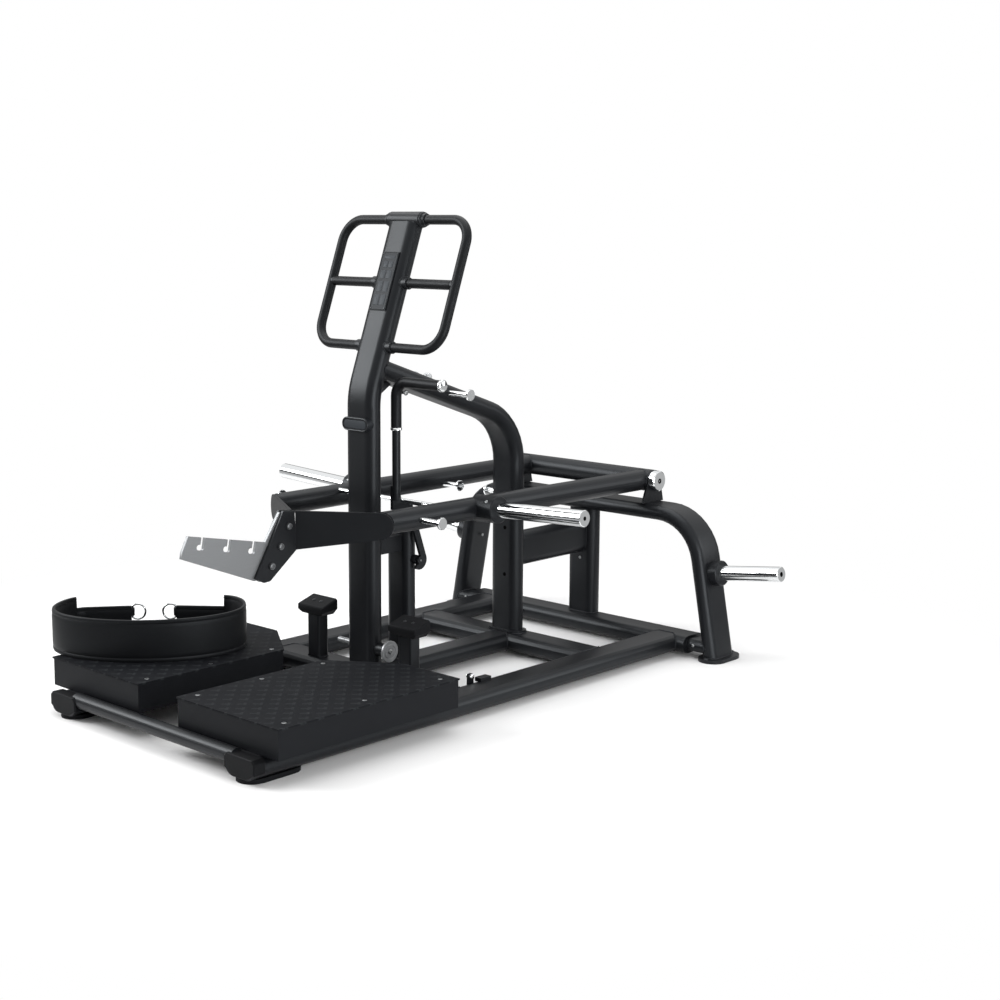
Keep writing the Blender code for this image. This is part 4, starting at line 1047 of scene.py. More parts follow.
@dataclass
class BaseFrame:
    """Fittings of the base: rail end blocks, the lug and tab, the low peg's face, bolts, and painted shade
    in the holes.
    """

    shop: Shop
    rail_x: float = 0.410
    rail_front: float = -0.836
    rail_z: float = 0.043
    block_half_w: float = 0.0640
    block_depth: float = 0.036
    rear_y: float = 1.078
    foot_x: float = 0.5892
    foot_top: float = 0.012
    foot_reach: float = 0.0745
    peg_end: tuple[float, float, float] = (0.1081, 0.005, 0.139)
    peg_ring_r: float = 0.0215
    peg_ring_wire: float = 0.0013
    rear_bolt: tuple[float, float, float] = (0.527, 1.0152, 0.046)
    post_bolt: tuple[float, float, float] = (0.004, 1.0478, 0.2705)
    leg_bolt: tuple[float, float, float] = (0.5005, 1.079, 0.281)
    hole_place: tuple[float, float] = (0.012, 0.6358)
    hole_heights: tuple[float, float] = (0.434, 0.273)

    def end_block(self, side: Side) -> None:
        """The chamfered plastic block that closes a rail's front end.

        Args:
            side: the rail's side.
        """
        half, top, low = self.block_half_w, 0.0302, -0.0298
        cut, rise, run = 0.010, 0.020, 0.036
        outline = [(half, top - cut), (half - cut, top), (cut - half, top), (-half, top - cut)]
        outline += [(-half, low + rise), (run - half, low), (half - run, low), (half, low + rise)]
        rows = []
        for depth, shrink in ((-0.0025, 0.0035), (0.0005, 0.0), (self.block_depth, 0.0)):
            k = 1 - shrink / half
            y = self.rail_front + depth
            rows.append([at(side.value * self.rail_x + a * k, y, self.rail_z + b * k) for a, b in outline])
        block = bridged(rows)
        self.shop.piece(f"rail_block_{side.label}", block, PLASTIC, Body.FRAME, crease=30, bevel=0.0018)

    def lug(self) -> None:
        """A small eye plate on the right rail with a plated bolt through it, and the tab beside it."""
        x, y, low, high = 0.354, 0.104, 0.048, 0.099
        half_t, foot, radius = 0.004, 0.013, 0.011
        eye_z = high - radius
        outline = [at(x - half_t, y - foot, low), at(x - half_t, y + foot, low)]
        for i in range(9):
            angle = math.pi * i / 8
            outline.append(at(x - half_t, y + radius * math.cos(angle), eye_z + radius * math.sin(angle)))
        eye = slab(outline, X_AXIS * (2 * half_t))
        self.shop.piece("rail_lug", eye, FRAME_COAT, Body.FRAME, bevel=0.001)
        stem = [(-0.010, 0), (-0.010, 0.0075), (-half_t, 0.0080), (-half_t, 0.0045)]
        stem += [(half_t, 0.0045), (half_t, 0.0085), (0.010, 0.0080), (0.011, 0.0065), (0.011, 0)]
        self.shop.piece("rail_lug_bolt", turned(at(x, y, eye_z), X_AXIS, stem, 24), CHROME, Body.FRAME)
        corners = ((0.004, 0.016), (0.030, 0.016), (0.030, 0.062), (0.004, 0.062))
        tab = slab([at(x + a, y + b, 0.0715) for a, b in corners], Z_AXIS * 0.013)
        self.shop.piece("rail_tab", tab, FRAME_COAT, Body.FRAME, bevel=0.001)

    def peg_face(self) -> None:
        """A turned ring and a bolt on the face of the low peg."""
        face = at(*self.peg_end)
        circle = [face + Y_AXIS * a + Z_AXIS * b for a, b in ring(self.peg_ring_r, 48)]
        raised = tube_ring(circle, X_AXIS, self.peg_ring_wire)
        self.shop.piece("low_peg_ring", raised, SATIN_PLATE, Body.FRAME)
        Fasteners(self.shop).build("low_peg_bolt", Head.BUTTON, [(face, X_AXIS)], FASTENER, Body.FRAME)

    def build(self) -> None:
        """Adds every fitting of the base."""
        for side in Side:
            self.end_block(side)
        self.lug()
        self.peg_face()
        fasteners = Fasteners(self.shop)
        feet = []
        for side in Side:
            for shift in (-self.foot_reach, self.foot_reach):
                feet.append((at(side.value * self.foot_x, self.rear_y + shift, self.foot_top), Z_AXIS))
        fasteners.build("foot_bolts", Head.BUTTON, feet, DARK_FASTENER, Body.FRAME)
        x, y, z = self.rear_bolt
        joints = [(at(side.value * x, y, z), -Y_AXIS) for side in Side] + [(at(*self.post_bolt), -Y_AXIS)]
        x, y, z = self.leg_bolt
        joints += [(at(-side.value * x, y, z), X_AXIS * -side.value) for side in Side]
        fasteners.build("joint_bolts", Head.SMALL_BUTTON, joints, FASTENER, Body.FRAME)
        # The upright's holes are thin discs of flat black: painted shade.
        holes = [(at(*self.hole_place, z), -Y_AXIS) for z in self.hole_heights]
        fasteners.build("upright_holes", Head.HOLE, holes, SHADOW, Body.FRAME)


@dataclass
class Platforms:
    """The screws in the two decks that the user stands on."""

    shop: Shop
    top: float = 0.1600
    inner_x: float = 0.118
    outer_x: float = 0.486
    inner_y: tuple[float, ...] = (-0.744, -0.516, -0.282)
    outer_y: tuple[float, ...] = (-0.746, -0.458, -0.162)

    def build(self) -> None:
        """Sets six countersunk screws in each deck."""
        places = []
        for side in Side:
            for x, row in ((self.inner_x, self.inner_y), (self.outer_x, self.outer_y)):
                places += [(at(side.value * x, y, self.top), Z_AXIS) for y in row]
        Fasteners(self.shop).build("deck_screws", Head.COUNTERSUNK, places, FASTENER, Body.FRAME)


@dataclass
class Mast:
    """The plates on the mast and the domes on the spine behind it."""

    shop: Shop
    half_t: float = 0.030
    badge_z: float = 0.842
    badge_w: float = 0.115
    badge_h: float = 0.042
    badge_t: float = 0.008
    badge_margin: float = 0.005
    placard_s: float = 0.351
    placard_w: float = 0.070
    placard_h: float = 0.187
    placard_t: float = 0.0033
    placard_margin: float = 0.004
    rivet_x: float = 0.029
    rivet_s: float = 0.0875
    field_rows: tuple[tuple[float, ...], ...] = (
        (0.053, 0.011, 0.018, 0.020),
        (0.021, 0.013, 0.022, 0.026),
        (-0.018, 0.013, 0.022, 0.034),
        (-0.060, 0.013, 0.022, 0.034),
    )
    spine_drop: float = math.radians(18.75)
    spine_z: float = 1.0235

    def on_placard(self, a: float, b: float, out: float = 0.0) -> Vector:
        """A place on the placard's face.

        Args:
            a: distance to the right of its middle.
            b: distance up the lean from its middle.
            out: distance out of the face.

        Returns:
            The place.
        """
        place = at(a, 0, BEND_Z) + LEAN_UP * (self.placard_s + b)
        return place + LEAN_FRONT * (self.half_t + self.placard_t + out)

    def panel(self, a: float, b: float, width: float, height: float) -> BMesh:
        """A low raised field with round corners on the placard.

        Args:
            a: distance of its middle to the right.
            b: distance of its middle up the lean.
            width: its width.
            height: its height.

        Returns:
            The field.
        """
        rows = []
        for out, shrink in ((-0.0002, 0), (0.0004, 0), (0.0006, 0.0004)):
            outline = rounded_box(width - 2 * shrink, height - 2 * shrink, 0.0025)
            rows.append([self.on_placard(a + x, b + y, out) for x, y in outline])
        return bridged(rows)

    def placard(self) -> None:
        """Rim, rivets and bare fields of the placard, which carries no print."""
        margin = self.placard_margin
        outline = rounded_box(self.placard_w - margin, self.placard_h - margin, 0.005)
        rim = tube_ring([self.on_placard(a, b, 0.0001) for a, b in outline], LEAN_FRONT, 0.0009)
        self.shop.piece("placard_rim", rim, PLATE_RIM, Body.FRAME)
        fields = [self.panel(0, 0.076, 0.046, 0.010)]
        for b, a, width, height in self.field_rows:
            fields += [self.panel(-a, b, width, height), self.panel(a, b, width, height)]
        self.shop.piece("placard_fields", joined(fields), PLATE_FIELD, Body.FRAME)
        corners = [(a, b) for a in (-self.rivet_x, self.rivet_x) for b in (-self.rivet_s, self.rivet_s)]
        rivets = [(self.on_placard(a, b), LEAN_FRONT) for a, b in corners]
        Fasteners(self.shop).build("placard_rivets", Head.RIVET, rivets, DARK_FASTENER, Body.FRAME)

    def badge(self) -> None:
        """Raised rim and bare field of the oval badge."""
        y = -self.half_t - self.badge_t
        rim = oval(self.badge_w - self.badge_margin, self.badge_h - self.badge_margin)
        outline = [at(a, y, self.badge_z + b) for a, b in rim]
        self.shop.piece("badge_rim", tube_ring(outline, -Y_AXIS, 0.0022), PLATE_RIM, Body.FRAME)
        rows = []
        for out, shrink in ((0.0003, 0.009), (-0.0008, 0.009), (-0.0012, 0.011)):
            field_outline = oval(self.badge_w - 2 * shrink, self.badge_h - 2 * shrink)
            rows.append([at(a, y + out, self.badge_z + b) for a, b in field_outline])
        self.shop.piece("badge_field", bridged(rows), PLATE_FIELD, Body.FRAME)

    def spine_domes(self) -> None:
        """The plated dome and the flatter knob beside it on top of the spine."""
        normal = Vector((0, math.sin(self.spine_drop), math.cos(self.spine_drop)))
        dome = [(0, 0), (0, 0.0140), (0.010, 0.0140), (0.015, 0.0120), (0.0185, 0.0065), (0.0195, 0)]
        plug = [(0, 0), (0, 0.0140), (0.0060, 0.0135), (0.0080, 0.0110), (0.0080, 0)]
        shapes = (("spine_dome", 0.0, 0.265, dome), ("spine_plug", 0.019, 0.200, plug))
        for name, x, y, profile in shapes:
            out = (normal * math.sqrt(self.half_t**2 - x**2) + X_AXIS * x).normalized()
            place = at(0, y, self.spine_z - math.tan(self.spine_drop) * y) + out * (self.half_t - 0.0010)
            self.shop.piece(name, turned(place, out, profile, 32), SATIN_NICKEL, Body.FRAME, crease=50)

    def build(self) -> None:
        """Adds the plates and the domes."""
        self.placard()
        self.badge()
        self.spine_domes()


@dataclass
class HandleFrame:
    """Rubber sleeves on the handle frame and the sockets at its top collar."""

    shop: Shop
    bar_r: float = 0.014
    half_w: float = 0.272
    corner_r: float = 0.072
    top_s: float = 0.560
    mid_s: float = 0.3555
    low_s: float = 0.151
    collar_half: float = 0.070
    socket_end: float = 0.078
    sleeve: float = 0.0009

    def place(self, x: float, s: float) -> Vector:
        """A place in the plane of the leaning mast."""
        return at(x, s * math.sin(LEAN), BEND_Z + s * math.cos(LEAN))

    def build(self) -> None:
        """Adds a long sleeve, a middle sleeve and a top socket on each side."""
        section = ring(self.bar_r + self.sleeve, 24)
        inner_x = self.socket_end + 0.001
        profile = [(0, 0), (0, 0.0235), (0.003, 0.0235), (0.006, 0.0195)]
        profile += [(0.015, 0.0185), (0.016, 0.0165), (0.016, 0)]
        for side in Side:
            k = side.value
            corners = [
                self.place(k * (self.collar_half + 0.014), self.top_s),
                self.place(k * self.half_w, self.top_s),
                self.place(k * self.half_w, self.low_s),
                self.place(k * inner_x, self.low_s),
            ]
            outer = bridged(swept(rounded_path(corners, self.corner_r, 14), section, LEAN_FRONT))
            ends = [self.place(k * x, self.mid_s) for x in (inner_x, self.half_w - self.bar_r)]
            sleeve = joined([outer, bridged(swept(ends, section, LEAN_FRONT))])
            self.shop.piece(f"handle_sleeve_{side.label}", sleeve, GRIP_RUBBER, Body.FRAME, crease=50)
            top_socket = turned(self.place(k * self.collar_half, self.top_s), X_AXIS * k, profile, 32)
            self.shop.piece(f"top_socket_{side.label}", top_socket, FRAME_COAT, Body.FRAME, crease=30)


@dataclass
class LeverFrame:
    """Bolts and plugs of the lever frame."""

    shop: Shop
    bolt_x: float = 0.0146
    bolts: tuple[tuple[float, float], ...] = ((-0.320, 0.565), (-0.352, 0.508), (-0.387, 0.454))
    horn_y: float = 0.250
    horn_end: tuple[float, float] = (0.674, 0.5975)
    storage_end: tuple[float, float] = (0.8246, 0.3262)
    rear_y: float = 1.078
    pivot_z: float = 0.578
    shaft_end: float = 0.3272
    sunk: float = 0.0005
    horn_rise: float = 0.045
    storage_rise: float = 0.1317
    screw_place: tuple[float, float] = (0.312, 0.6082)
    screw_back: float = 0.0326
    screw_way: tuple[float, float] = (-0.766, 0.643)

    def build(self) -> None:
        """Sets the flange bolts, the plugs in the sleeve ends and the collar screws."""
        fasteners = Fasteners(self.shop)
        heads = [(at(k * self.bolt_x, y, z), X_AXIS * k) for y, z in self.bolts for k in (1, -1)]
        fasteners.build("flange_bolts", Head.FLANGE, heads, BLACKENED, Body.LEVER)
        lever_plugs, frame_plugs, caps, screws = [], [], [], []
        for side in Side:
            k = side.value
            x, z = self.horn_end
            way = Vector((k, 0, self.horn_rise)).normalized()
            lever_plugs.append((at(k * (x - self.sunk), self.horn_y, z), way))
            x, z = self.storage_end
            way = Vector((k, 0, self.storage_rise)).normalized()
            frame_plugs.append((at(k * (x - self.sunk), self.rear_y, z), way))
            caps.append((at(k * self.shaft_end, self.rear_y, self.pivot_z), X_AXIS * k))
            x, z = self.screw_place
            screws.append((at(k * x, self.horn_y - self.screw_back, z), Vector((0, *self.screw_way))))
        # The plugs take the flat black of painted shade, with no reflection.
        fasteners.build("weight_sleeve_plugs", Head.PLUG, lever_plugs, SHADOW, Body.LEVER)
        fasteners.build("storage_sleeve_plugs", Head.PLUG, frame_plugs, SHADOW, Body.FRAME)
        fasteners.build("pivot_cap_plugs", Head.PLUG, caps, SHADOW, Body.FRAME)
        fasteners.build("collar_screws", Head.SMALL_BUTTON, screws, FASTENER, Body.LEVER)


@dataclass
class CatchLever:
    """Plated trim of the catch lever's rubber grip, and the screws in its pin and beside it."""

    shop: Shop
    rod_x: float = 0.080
    rod_y: float = 0.060
    grip_low: float = 0.830
    hand_x: float = 0.273
    top_z: float = 0.972
    pin: tuple[float, float, float] = (0.0822, 0.165, 0.400)
    gusset_screw: tuple[float, float, float] = (0.0305, 0.150, 0.927)

    def build(self) -> None:
        """Adds the lower ring, the end disc, the pin's screw and the one on the mast's gusset."""
        profile = [(0, 0), (0, 0.0160), (0.0015, 0.0178), (0.0075, 0.0178), (0.009, 0.0162), (0.009, 0)]
        lower = turned(at(self.rod_x, self.rod_y, self.grip_low - 0.008), Z_AXIS, profile, 36)
        self.shop.piece("grip_ring", lower, CHROME, Body.CATCH, crease=50)
        profile = [(0, 0), (0, 0.0172), (0.002, 0.0188), (0.009, 0.0188), (0.0125, 0.0155), (0.0125, 0)]
        disc = turned(at(self.hand_x - 0.0025, self.rod_y, self.top_z), X_AXIS, profile, 40)
        self.shop.piece("grip_end_disc", disc, CHROME, Body.CATCH, crease=50)
        Fasteners(self.shop).build("pin_screw", Head.RIVET, [(at(*self.pin), X_AXIS)], FASTENER, Body.FRAME)
        gusset = [(at(*self.gusset_screw), X_AXIS)]
        Fasteners(self.shop).build("mast_gusset_screw", Head.BUTTON, gusset, FASTENER, Body.FRAME)


@dataclass
class Bumpers:
    """The screws that hold the wedge bumpers."""

    shop: Shop
    x: float = 0.2085
    y: float = -0.013
    top: float = 0.253
    tilt: float = math.atan(0.020 / 0.068)
    spacing: float = 0.034

    def build(self) -> None:
        """Sets two sunk screws in each bumper."""
        normal = Vector((0, -math.sin(self.tilt), math.cos(self.tilt)))
        places = []
        for side in Side:
            for shift in (-self.spacing / 2, self.spacing / 2):
                places.append((at(side.value * self.x + shift, self.y, self.top), normal))
        Fasteners(self.shop).build("bumper_screws", Head.SMALL_BUTTON, places, DARK_FASTENER, Body.FRAME)


@dataclass
class HipBelt:
    """The padded leather belt on the left platform, with bound edges, stitches and two rings.

    U runs across the belt, and V runs towards its closed front.
    """

    shop: Shop
    middle: tuple[float, float] = (-0.415, -0.516)
    turn: float = math.radians(46)
    half_w: float = 0.289
    depth: float = 0.193
    end_r: float = 0.080
    end_depth: float = 0.135
    height: float = 0.128
    floor: float = 0.1603
    flap_low: float = 0.022
    flap_h: float = 0.070
    flap_v: float = -0.150
    flap_end: dict[int, float] = field(default_factory=lambda: {1: 0.063, -1: 0.079})
    full_end: dict[int, float] = field(default_factory=lambda: {1: 86.0, -1: 62.0})
    loop_r: float = 0.0062
    loop_h: float = 0.026
    wire_r: float = 0.0034
    ring_r: float = 0.024
    ring_reach: float = 0.016
    binding: float = 0.012
    seam: float = 0.0075

    def place(self, u: float, v: float, z: float) -> Vector:
        """A place from across, forward and height."""
        return at(self.middle[0], self.middle[1], z) + self.u_dir * u + self.v_dir * v

    @property
    def u_dir(self) -> Vector:
        """Direction across the belt."""
        return Vector((math.cos(self.turn), math.sin(self.turn), 0))

    @property
    def v_dir(self) -> Vector:
        """Direction towards the belt's closed front."""
        return Vector((math.sin(self.turn), -math.cos(self.turn), 0))

    def half_line(self, side: int) -> list[tuple[float, float, float]]:
        """Half of the belt's centre line: the closed front, the turn back and the flap.

        Args:
            side: 1 for the right half, -1 for the left one.

        Returns:
            Points as u, v and 1 where the belt has its full height, else 0.
        """
        points = []
        for degree in range(90, -2, -2):
            angle = math.radians(degree)
            points.append((self.half_w * math.cos(angle), self.depth * math.sin(angle), 1.0))
        centre = self.half_w - self.end_r
        full_end = self.full_end[side]
        step, clear, cut_width = 3.0, 1.2, 0.6
        degrees = [step * i for i in range(1, 31) if abs(step * i - full_end) > clear]
        for degree in sorted(degrees + [full_end, full_end + cut_width]):
            angle = math.radians(degree)
            tall = 1.0 if degree <= full_end else 0.0
            points.append((centre + self.end_r * math.cos(angle), -self.end_depth * math.sin(angle), tall))
        end = self.flap_end[side]
        pieces = 8
        for i in range(1, pieces + 1):
            t = i / pieces
            v = -self.end_depth + (self.flap_v + self.end_depth) * t
            points.append((centre + (end - centre) * t, v, 0.0))
        return points

    def line(self) -> list[tuple[float, float, float]]:
        """The whole centre line from the left flap round to the right one."""
        left = [(-u, v, tall) for u, v, tall in self.half_line(-1)[:0:-1]]
        return left + self.half_line(1)

    def edges_at(self, tall: float) -> tuple[float, float]:
        """Heights of the lower and the upper edge, where the belt is tall or a flap."""
        low = 0.0 if tall else self.flap_low
        return low, low + (self.height if tall else self.flap_h)

    def section(self, tall: float) -> Outline:
        """The belt's cross section: a soft middle between two bound edges with a seam beside each.

        Args:
            tall: 1 where the belt has its full height, else 0.

        Returns:
            Thickness and height pairs.
        """
        low, high = self.edges_at(tall)
        edge = self.binding
        side = [(0.0022, 0), (0.0042, 0.0008), (0.0050, 0.0030), (0.0050, edge - 0.0010), (0.0040, edge)]
        side += [(0.0052, edge + 0.0030), (0.0060, edge + 0.012)]
        outer = [(w, low + k) for w, k in side] + [(w, high - k) for w, k in side[::-1]]
        return outer + [(-w, z) for w, z in outer[::-1]]

    def side_at(self, line: list[tuple[float, float, float]], i: int) -> Vector:
        """Outward direction of the belt at a point of its line.

        Args:
            line: the centre line.
            i: the point's number.

        Returns:
            The direction.
        """
        before, after = line[max(i - 1, 0)], line[min(i + 1, len(line) - 1)]
        along = (self.u_dir * (after[0] - before[0]) + self.v_dir * (after[1] - before[1])).normalized()
        return along.cross(Z_AXIS)

    def band(self) -> Object:
        """The padded strip itself with its two loops.

        Returns:
            The belt's piece.
        """
        line = self.line()
        rings = []
        for i, (u, v, tall) in enumerate(line):
            side = self.side_at(line, i)
            rings.append([self.place(u, v, self.floor + z) + side * w for w, z in self.section(tall)])
        parts = [bridged(rings)]
        for k in (1, -1):
            axis = self.ring_axis(k)
            foot = axis - Z_AXIS * (self.loop_h / 2)
            radius, height, cut = self.loop_r, self.loop_h, 0.0012
            profile = [(0, 0), (0, radius - cut), (cut, radius)]
            profile += [(height - cut, radius), (height, radius - cut), (height, 0)]
            parts.append(turned(foot, Z_AXIS, profile, 24))
        band = self.shop.piece("hip_belt", joined(parts), LEATHER, Body.BELT, replaces=("belt",), crease=60)
        return band

    def ring_axis(self, side: int) -> Vector:
        """Middle of the bar that a ring swings about."""
        u = side * (self.flap_end[side] - self.loop_r * 0.6)
        return self.place(u, self.flap_v, self.floor + self.flap_low + self.flap_h - self.loop_h / 2 - 0.006)

    def ring_piece(self, side: Side) -> None:
        """The steel ring at one end.

        Args:
            side: the belt's end.
        """
        axis = self.ring_axis(side.value)
        inward = self.u_dir * -side.value
        last = math.pi - math.acos(self.ring_reach / self.ring_r)
        path = []
        half_steps = 18
        for i in range(2 * half_steps + 1):
            angle = last * (i / half_steps - 1)
            out = self.ring_r * math.cos(angle) + self.ring_reach
            path.append(axis + Z_AXIS * (self.ring_r * math.sin(angle)) + inward * out)
        first, top = path[0], path[-1]
        path += [top + (first - top) * (i / 6) for i in range(1, 6)]
        made = tube_ring(path, self.v_dir, self.wire_r, 16)
        replaced = (f"d_ring_{side.label}",)
        body = Body(f"ring_{side.label}")
        self.shop.piece(f"belt_ring_{side.label}", made, STEEL_RING, body, replaced, crease=60)

    def stitch_tree(self) -> NodeTree:
        """A tree that lays short stitches of thread along a line at an even pitch.

        Returns:
            The tree.
        """
        sockets = {"Pitch": 0.006, "Thread Radius": 0.00055, "Stitch Length": 0.0042}
        tree, start = self.shop.tree("stitch_row", sockets | {"Material": "NodeSocketMaterial"})
        if start is None:
            return tree
        curve = add_node(tree, "GeometryNodeMeshToCurve", {"Mesh": start.outputs["Geometry"]})
        inputs = {"Curve": curve.outputs[0], "Length": start.outputs["Pitch"]}
        points = add_node(tree, "GeometryNodeCurveToPoints", inputs, mode="LENGTH")
        inputs = {"Vertices": 8, "Side Segments": 1}
        inputs |= {"Radius": start.outputs["Thread Radius"], "Depth": start.outputs["Stitch Length"]}
        stitch = add_node(tree, "GeometryNodeMeshCylinder", inputs)
        inputs = {"Points": points.outputs["Points"], "Instance": stitch.outputs["Mesh"]}
        inputs |= {"Rotation": points.outputs["Rotation"]}
        placed = add_node(tree, "GeometryNodeInstanceOnPoints", inputs)
        end_tree(tree, start, placed.outputs[0])
        return tree

    def stitches(self) -> None:
        """Rows of stitches in the binding, along both edges of both faces."""
        line = self.line()
        rows: list[list[Vector]] = []
        for face in (1, -1):
            for upper in (True, False):
                run: list[Vector] = []
                last = None
                for i, (u, v, tall) in enumerate(line):
                    low, high = self.edges_at(tall)
                    z = high - self.seam if upper else low + self.seam
                    if last is not None and tall != last:
                        rows.append(run)
                        run = []
                    last = tall
                    run.append(self.place(u, v, self.floor + z) + self.side_at(line, i) * (face * 0.0051))
                rows.append(run)
        verts, edges = [], []
        for run in rows:
            base = len(verts)
            verts += [tuple(point) for point in run]
            edges += [(base + i, base + i + 1) for i in range(len(run) - 1)]
        mesh = bpy.data.meshes.new("stitch_lines")
        mesh.from_pydata(verts, edges, [])
        sewn = self.shop.grown("belt_stitches", mesh, self.stitch_tree(), {"Material": THREAD.material()})
        self.shop.piece("belt_stitches", sewn, THREAD, Body.BELT, crease=60)

    def tabs(self) -> None:
        """A doubled leather patch on the outside of each flap end."""
        patches = []
        width, height, corner = 0.044, 0.058, 0.006
        for k in (1, -1):
            end = self.flap_end[k]
            rows = []
            for out, shrink in ((0.0045, 0), (0.0078, 0), (0.0085, 0.0015)):
                row = []
                for a, b in rounded_box(width - 2 * shrink, height - 2 * shrink, corner, 4):
                    z = self.floor + self.flap_low + self.flap_h / 2 + b
                    u = k * (end + 0.028 + a)
                    row.append(self.place(u, self.flap_v - out + 0.003, z))
                rows.append(row)
            patches.append(bridged(rows))
        self.shop.piece("belt_tabs", joined(patches), WEBBING, Body.BELT, bevel=0.0006)

    def build(self) -> None:
        """Makes the belt, its stitches, patches and rings."""
        self.band()
        self.stitches()
        self.tabs()
        for side in Side:
            self.ring_piece(side)


@dataclass
class Studio:
    """Floor, backdrop, soft lamps and the camera of the photograph."""

    picture: int = 1000
    sensor: float = 36.0
    focal: float = 1650.25
    centre: tuple[float, float] = (466.48, 480.23)
    azimuth: float = 43.370
    pitch: float = 8.875
    roll: float = 0.218
    eye: tuple[float, float, float] = (3.6857, -3.4426, 1.452)
    floor_radius: float = 14.0
    floor_near: float = 1.15
    floor_far: float = 2.2
    floor_glow: float = 0.5
    world_light: float = 0.5
    gloss_low: float = 0.12
    gloss_rise: tuple[float, float] = (0.1, 0.55)

    def camera(self) -> None:
        """Places the camera where the photograph was taken from."""
        data = bpy.data.cameras.new("photo_camera")
        data.sensor_width = self.sensor
        data.sensor_fit = "HORIZONTAL"
        data.lens = self.focal * self.sensor / self.picture
        data.shift_x = (self.picture / 2 - self.centre[0]) / self.picture
        data.shift_y = (self.centre[1] - self.picture / 2) / self.picture
        data.clip_end = 100
        turn, tip, roll = (math.radians(value) for value in (self.azimuth, self.pitch, self.roll))
        forward = Vector((-math.sin(turn) * math.cos(tip), math.cos(turn) * math.cos(tip), -math.sin(tip)))
        right = Vector((math.cos(turn), math.sin(turn), 0))
        up = right.cross(forward)
        across = right * math.cos(roll) + up * math.sin(roll)
        above = up * math.cos(roll) - right * math.sin(roll)
        made = to_scene("photo_camera", data)
        rotation = Matrix((across, above, -forward)).transposed().to_4x4()
        made.matrix_world = Matrix.Translation(at(*self.eye)) @ rotation
        bpy.context.scene.camera = made

    def lamp(
        self,
        name: str,
        place: tuple[float, ...],
        target: tuple[float, ...],
        size: tuple[float, float],
        power: float,
    ) -> None:
        """Adds one soft rectangular lamp.

        Args:
            name: the lamp's name.
            place: where it stands.
            target: the place that it faces.
            size: its width and height.
            power: its power in watts.
        """
        data = bpy.data.lights.new(name, type="AREA")
        data.shape = "RECTANGLE"
        data.size, data.size_y = size
        data.energy = power
        aim = (Vector(target) - Vector(place)).to_track_quat("-Z", "Y")
        to_scene(name, data).matrix_world = Matrix.Translation(Vector(place)) @ aim.to_matrix().to_4x4()

    def floor(self) -> None:
        """A pale floor whose far part fades into the white backdrop."""
        bm = bmesh.new()
        bmesh.ops.create_circle(bm, cap_ends=True, segments=64, radius=self.floor_radius)
        mesh = as_mesh("studio_floor", bm)
        made = to_scene("studio_floor", mesh)
        material = bpy.data.materials.new("matt_white_floor")
        material.use_nodes = True
        tree = material.node_tree
        shader = tree.nodes["Principled BSDF"]
        look = {"Base Color": linear("f4f4f4"), "Roughness": 0.75, "Specular IOR Level": 0.15}
        for name, value in look.items():
            shader.inputs[name].default_value = value
        place = add_node(tree, "ShaderNodeTexCoord").outputs["Object"]
        reach = add_node(tree, "ShaderNodeVectorMath", {0: place}, operation="LENGTH")
        inputs = {"Value": reach.outputs["Value"], "From Min": self.floor_near, "From Max": self.floor_far}
        fade = add_node(tree, "ShaderNodeMapRange", inputs, interpolation_type="SMOOTHSTEP")
        seen = add_node(tree, "ShaderNodeLightPath").outputs["Is Camera Ray"]
        inputs = {"Color": (1, 1, 1, 1), "Strength": add_range(tree, seen, self.floor_glow, 1.0)}
        glow = add_node(tree, "ShaderNodeEmission", inputs)
        inputs = {0: fade.outputs["Result"], 1: shader.outputs[0], 2: glow.outputs[0]}
        mix = add_node(tree, "ShaderNodeMixShader", inputs)
        tree.links.new(mix.outputs[0], tree.nodes["Material Output"].inputs["Surface"])
        mesh.materials.append(material)

    def world(self) -> None:
        """A surround that is white to look at, darker near the horizon in reflections, and a dim light."""
        world = bpy.data.worlds.new("studio_world")
        bpy.context.scene.world = world
        world.use_nodes = True
        tree = world.node_tree
        path = add_node(tree, "ShaderNodeLightPath")
        way = add_node(tree, "ShaderNodeTexCoord").outputs["Generated"]
        parts = add_node(tree, "ShaderNodeSeparateXYZ", {"Vector": way})
        start, end = self.gloss_rise
        inputs = {"Value": parts.outputs["Z"], "From Min": start, "From Max": end}
        inputs |= {"To Min": self.gloss_low, "To Max": 1.0}
        above = add_node(tree, "ShaderNodeMapRange", inputs, interpolation_type="SMOOTHSTEP")
        lit = add_range(tree, path.outputs["Is Glossy Ray"], self.world_light, above.outputs["Result"])
        seen = add_math(tree, "MAXIMUM", path.outputs["Is Camera Ray"], path.outputs["Is Transmission Ray"])
        back = tree.nodes["Background"]
        back.inputs["Color"].default_value = (1, 1, 1, 1)
        tree.links.new(add_range(tree, seen, lit, 1.0), back.inputs["Strength"])

    def build(self) -> None:
        """Sets the whole studio."""
        bpy.context.scene.view_settings.view_transform = "Standard"
        self.camera()
        self.world()
        self.floor()
        self.lamp("overhead_softbox", (-0.6, 0.4, 4.4), (0, 0, 0.4), (4.0, 4.0), 120.0)
        self.lamp("key_softbox", (-3.1, -2.9, 2.8), (0, -0.1, 0.9), (2.4, 2.6), 175.0)
        self.lamp("right_softbox", (3.9, -0.9, 1.0), (0, -0.1, 0.8), (2.2, 2.0), 95.0)
        self.lamp("rear_right_softbox", (3.4, 3.1, 1.7), (0, -0.1, 0.9), (2.2, 2.0), 45.0)


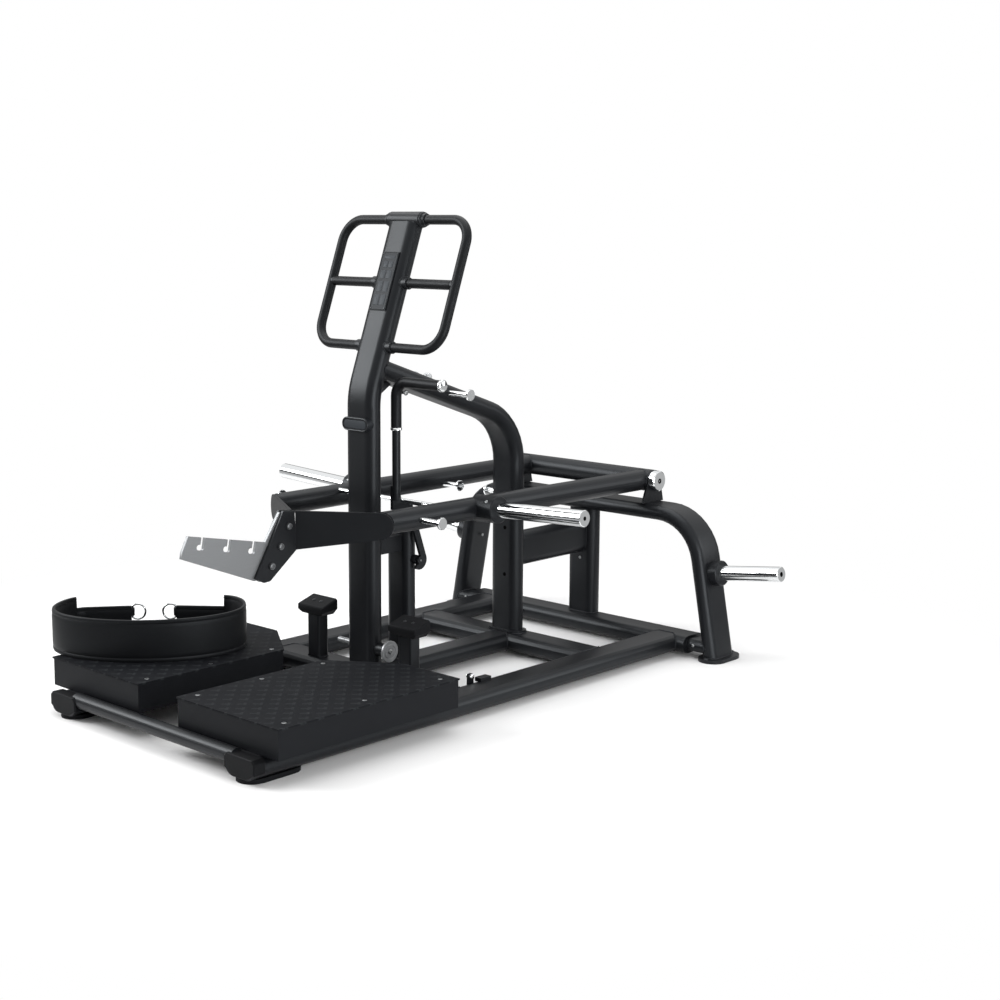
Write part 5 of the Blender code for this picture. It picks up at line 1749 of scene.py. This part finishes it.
def cad_finishes() -> dict[str, Finish]:
    """The finish of each CAD node that isn't in the frame's own coat.

    Returns:
        Node name to finish.
    """
    kinds = {
        "storage_sleeve": CHROME,
        "weight_sleeve": CHROME,
        "outer_peg": CHROME,
        "inner_peg": CHROME,
        "deck_plate": DECK_COAT,
        "front_pad": RUBBER,
        "bumper": RUBBER,
        "platform_tray": TRAY_COAT,
    }
    finishes = {f"{kind}_{side.label}": finish for kind, finish in kinds.items() for side in Side}
    finishes |= {name: CHROME for name in ("pivot_shaft", "cross_rod", "spine_peg", "upright_peg")}
    finishes |= {f"tongue_bolt_{place}": BLACKENED for place in (1, 2, 3)}
    finishes |= {"catch_grip": GRIP_RUBBER, "badge_plate": BARE_PLATE, "placard": BARE_PLATE}
    return finishes | {"tongue": STAINLESS, "low_peg": SATIN_PLATE}


def weld_pairs() -> dict[str, list[tuple[str, str]]]:
    """The nodes that each piece of weld beads joins.

    Returns:
        Piece name to pairs of the coped node and the node that carries it.
    """
    sides = [side.label for side in Side]
    lever = [(f"arm_{side}", "pivot_tube") for side in sides]
    lever += [(f"arm_{side}", f"yoke_{side}") for side in sides]
    cross = ("front_cross_tube", "mast_cross_tube", "mid_cross_tube")
    base = [(tube, f"rail_{side}") for tube in cross for side in sides]
    base += [(f"rail_{side}", "rear_cross_tube") for side in sides]
    base += [("centre_tube", "mast_cross_tube"), ("centre_tube", "mid_cross_tube")]
    base += [("mast", "mast_cross_tube")]
    base += [("spine", "mid_cross_tube"), ("catch_post", "centre_tube"), ("rear_post", "rear_cross_tube")]
    base += [(f"bumper_post_{side}", "mast_cross_tube") for side in sides]
    upper = [("spine", "mast"), ("catch_post", "mast"), ("link_tube", "spine"), ("link_tube", "rear_post")]
    upper += [("rear_cross_tube", "rear_arch"), ("rear_post", "rear_arch"), ("mast", "top_collar")]
    upper += [("rear_arch", f"foot_plate_{side}") for side in sides]
    upper += [(f"pivot_bracket_{side}", "rear_arch") for side in sides]
    upper += [(f"handle_{side}", "mast") for side in sides]
    return {"lever_welds": lever, "base_welds": base, "upper_welds": upper}


def main() -> None:
    for old in list(bpy.data.objects):
        bpy.data.objects.remove(old)
    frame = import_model()
    shop = Shop(frame)
    Studio().build()
    for assembly in (BaseFrame, Platforms, Mast, HandleFrame, LeverFrame, CatchLever, Bumpers, HipBelt):
        assembly(shop).build()
    for name, pairs in weld_pairs().items():
        Welder(shop).build(name, pairs, Body.LEVER if name == "lever_welds" else Body.FRAME)
    CadDresser(shop, cad_finishes()).build({"belt", "d_ring_right", "d_ring_left"})


if __name__ == "__main__":
    main()
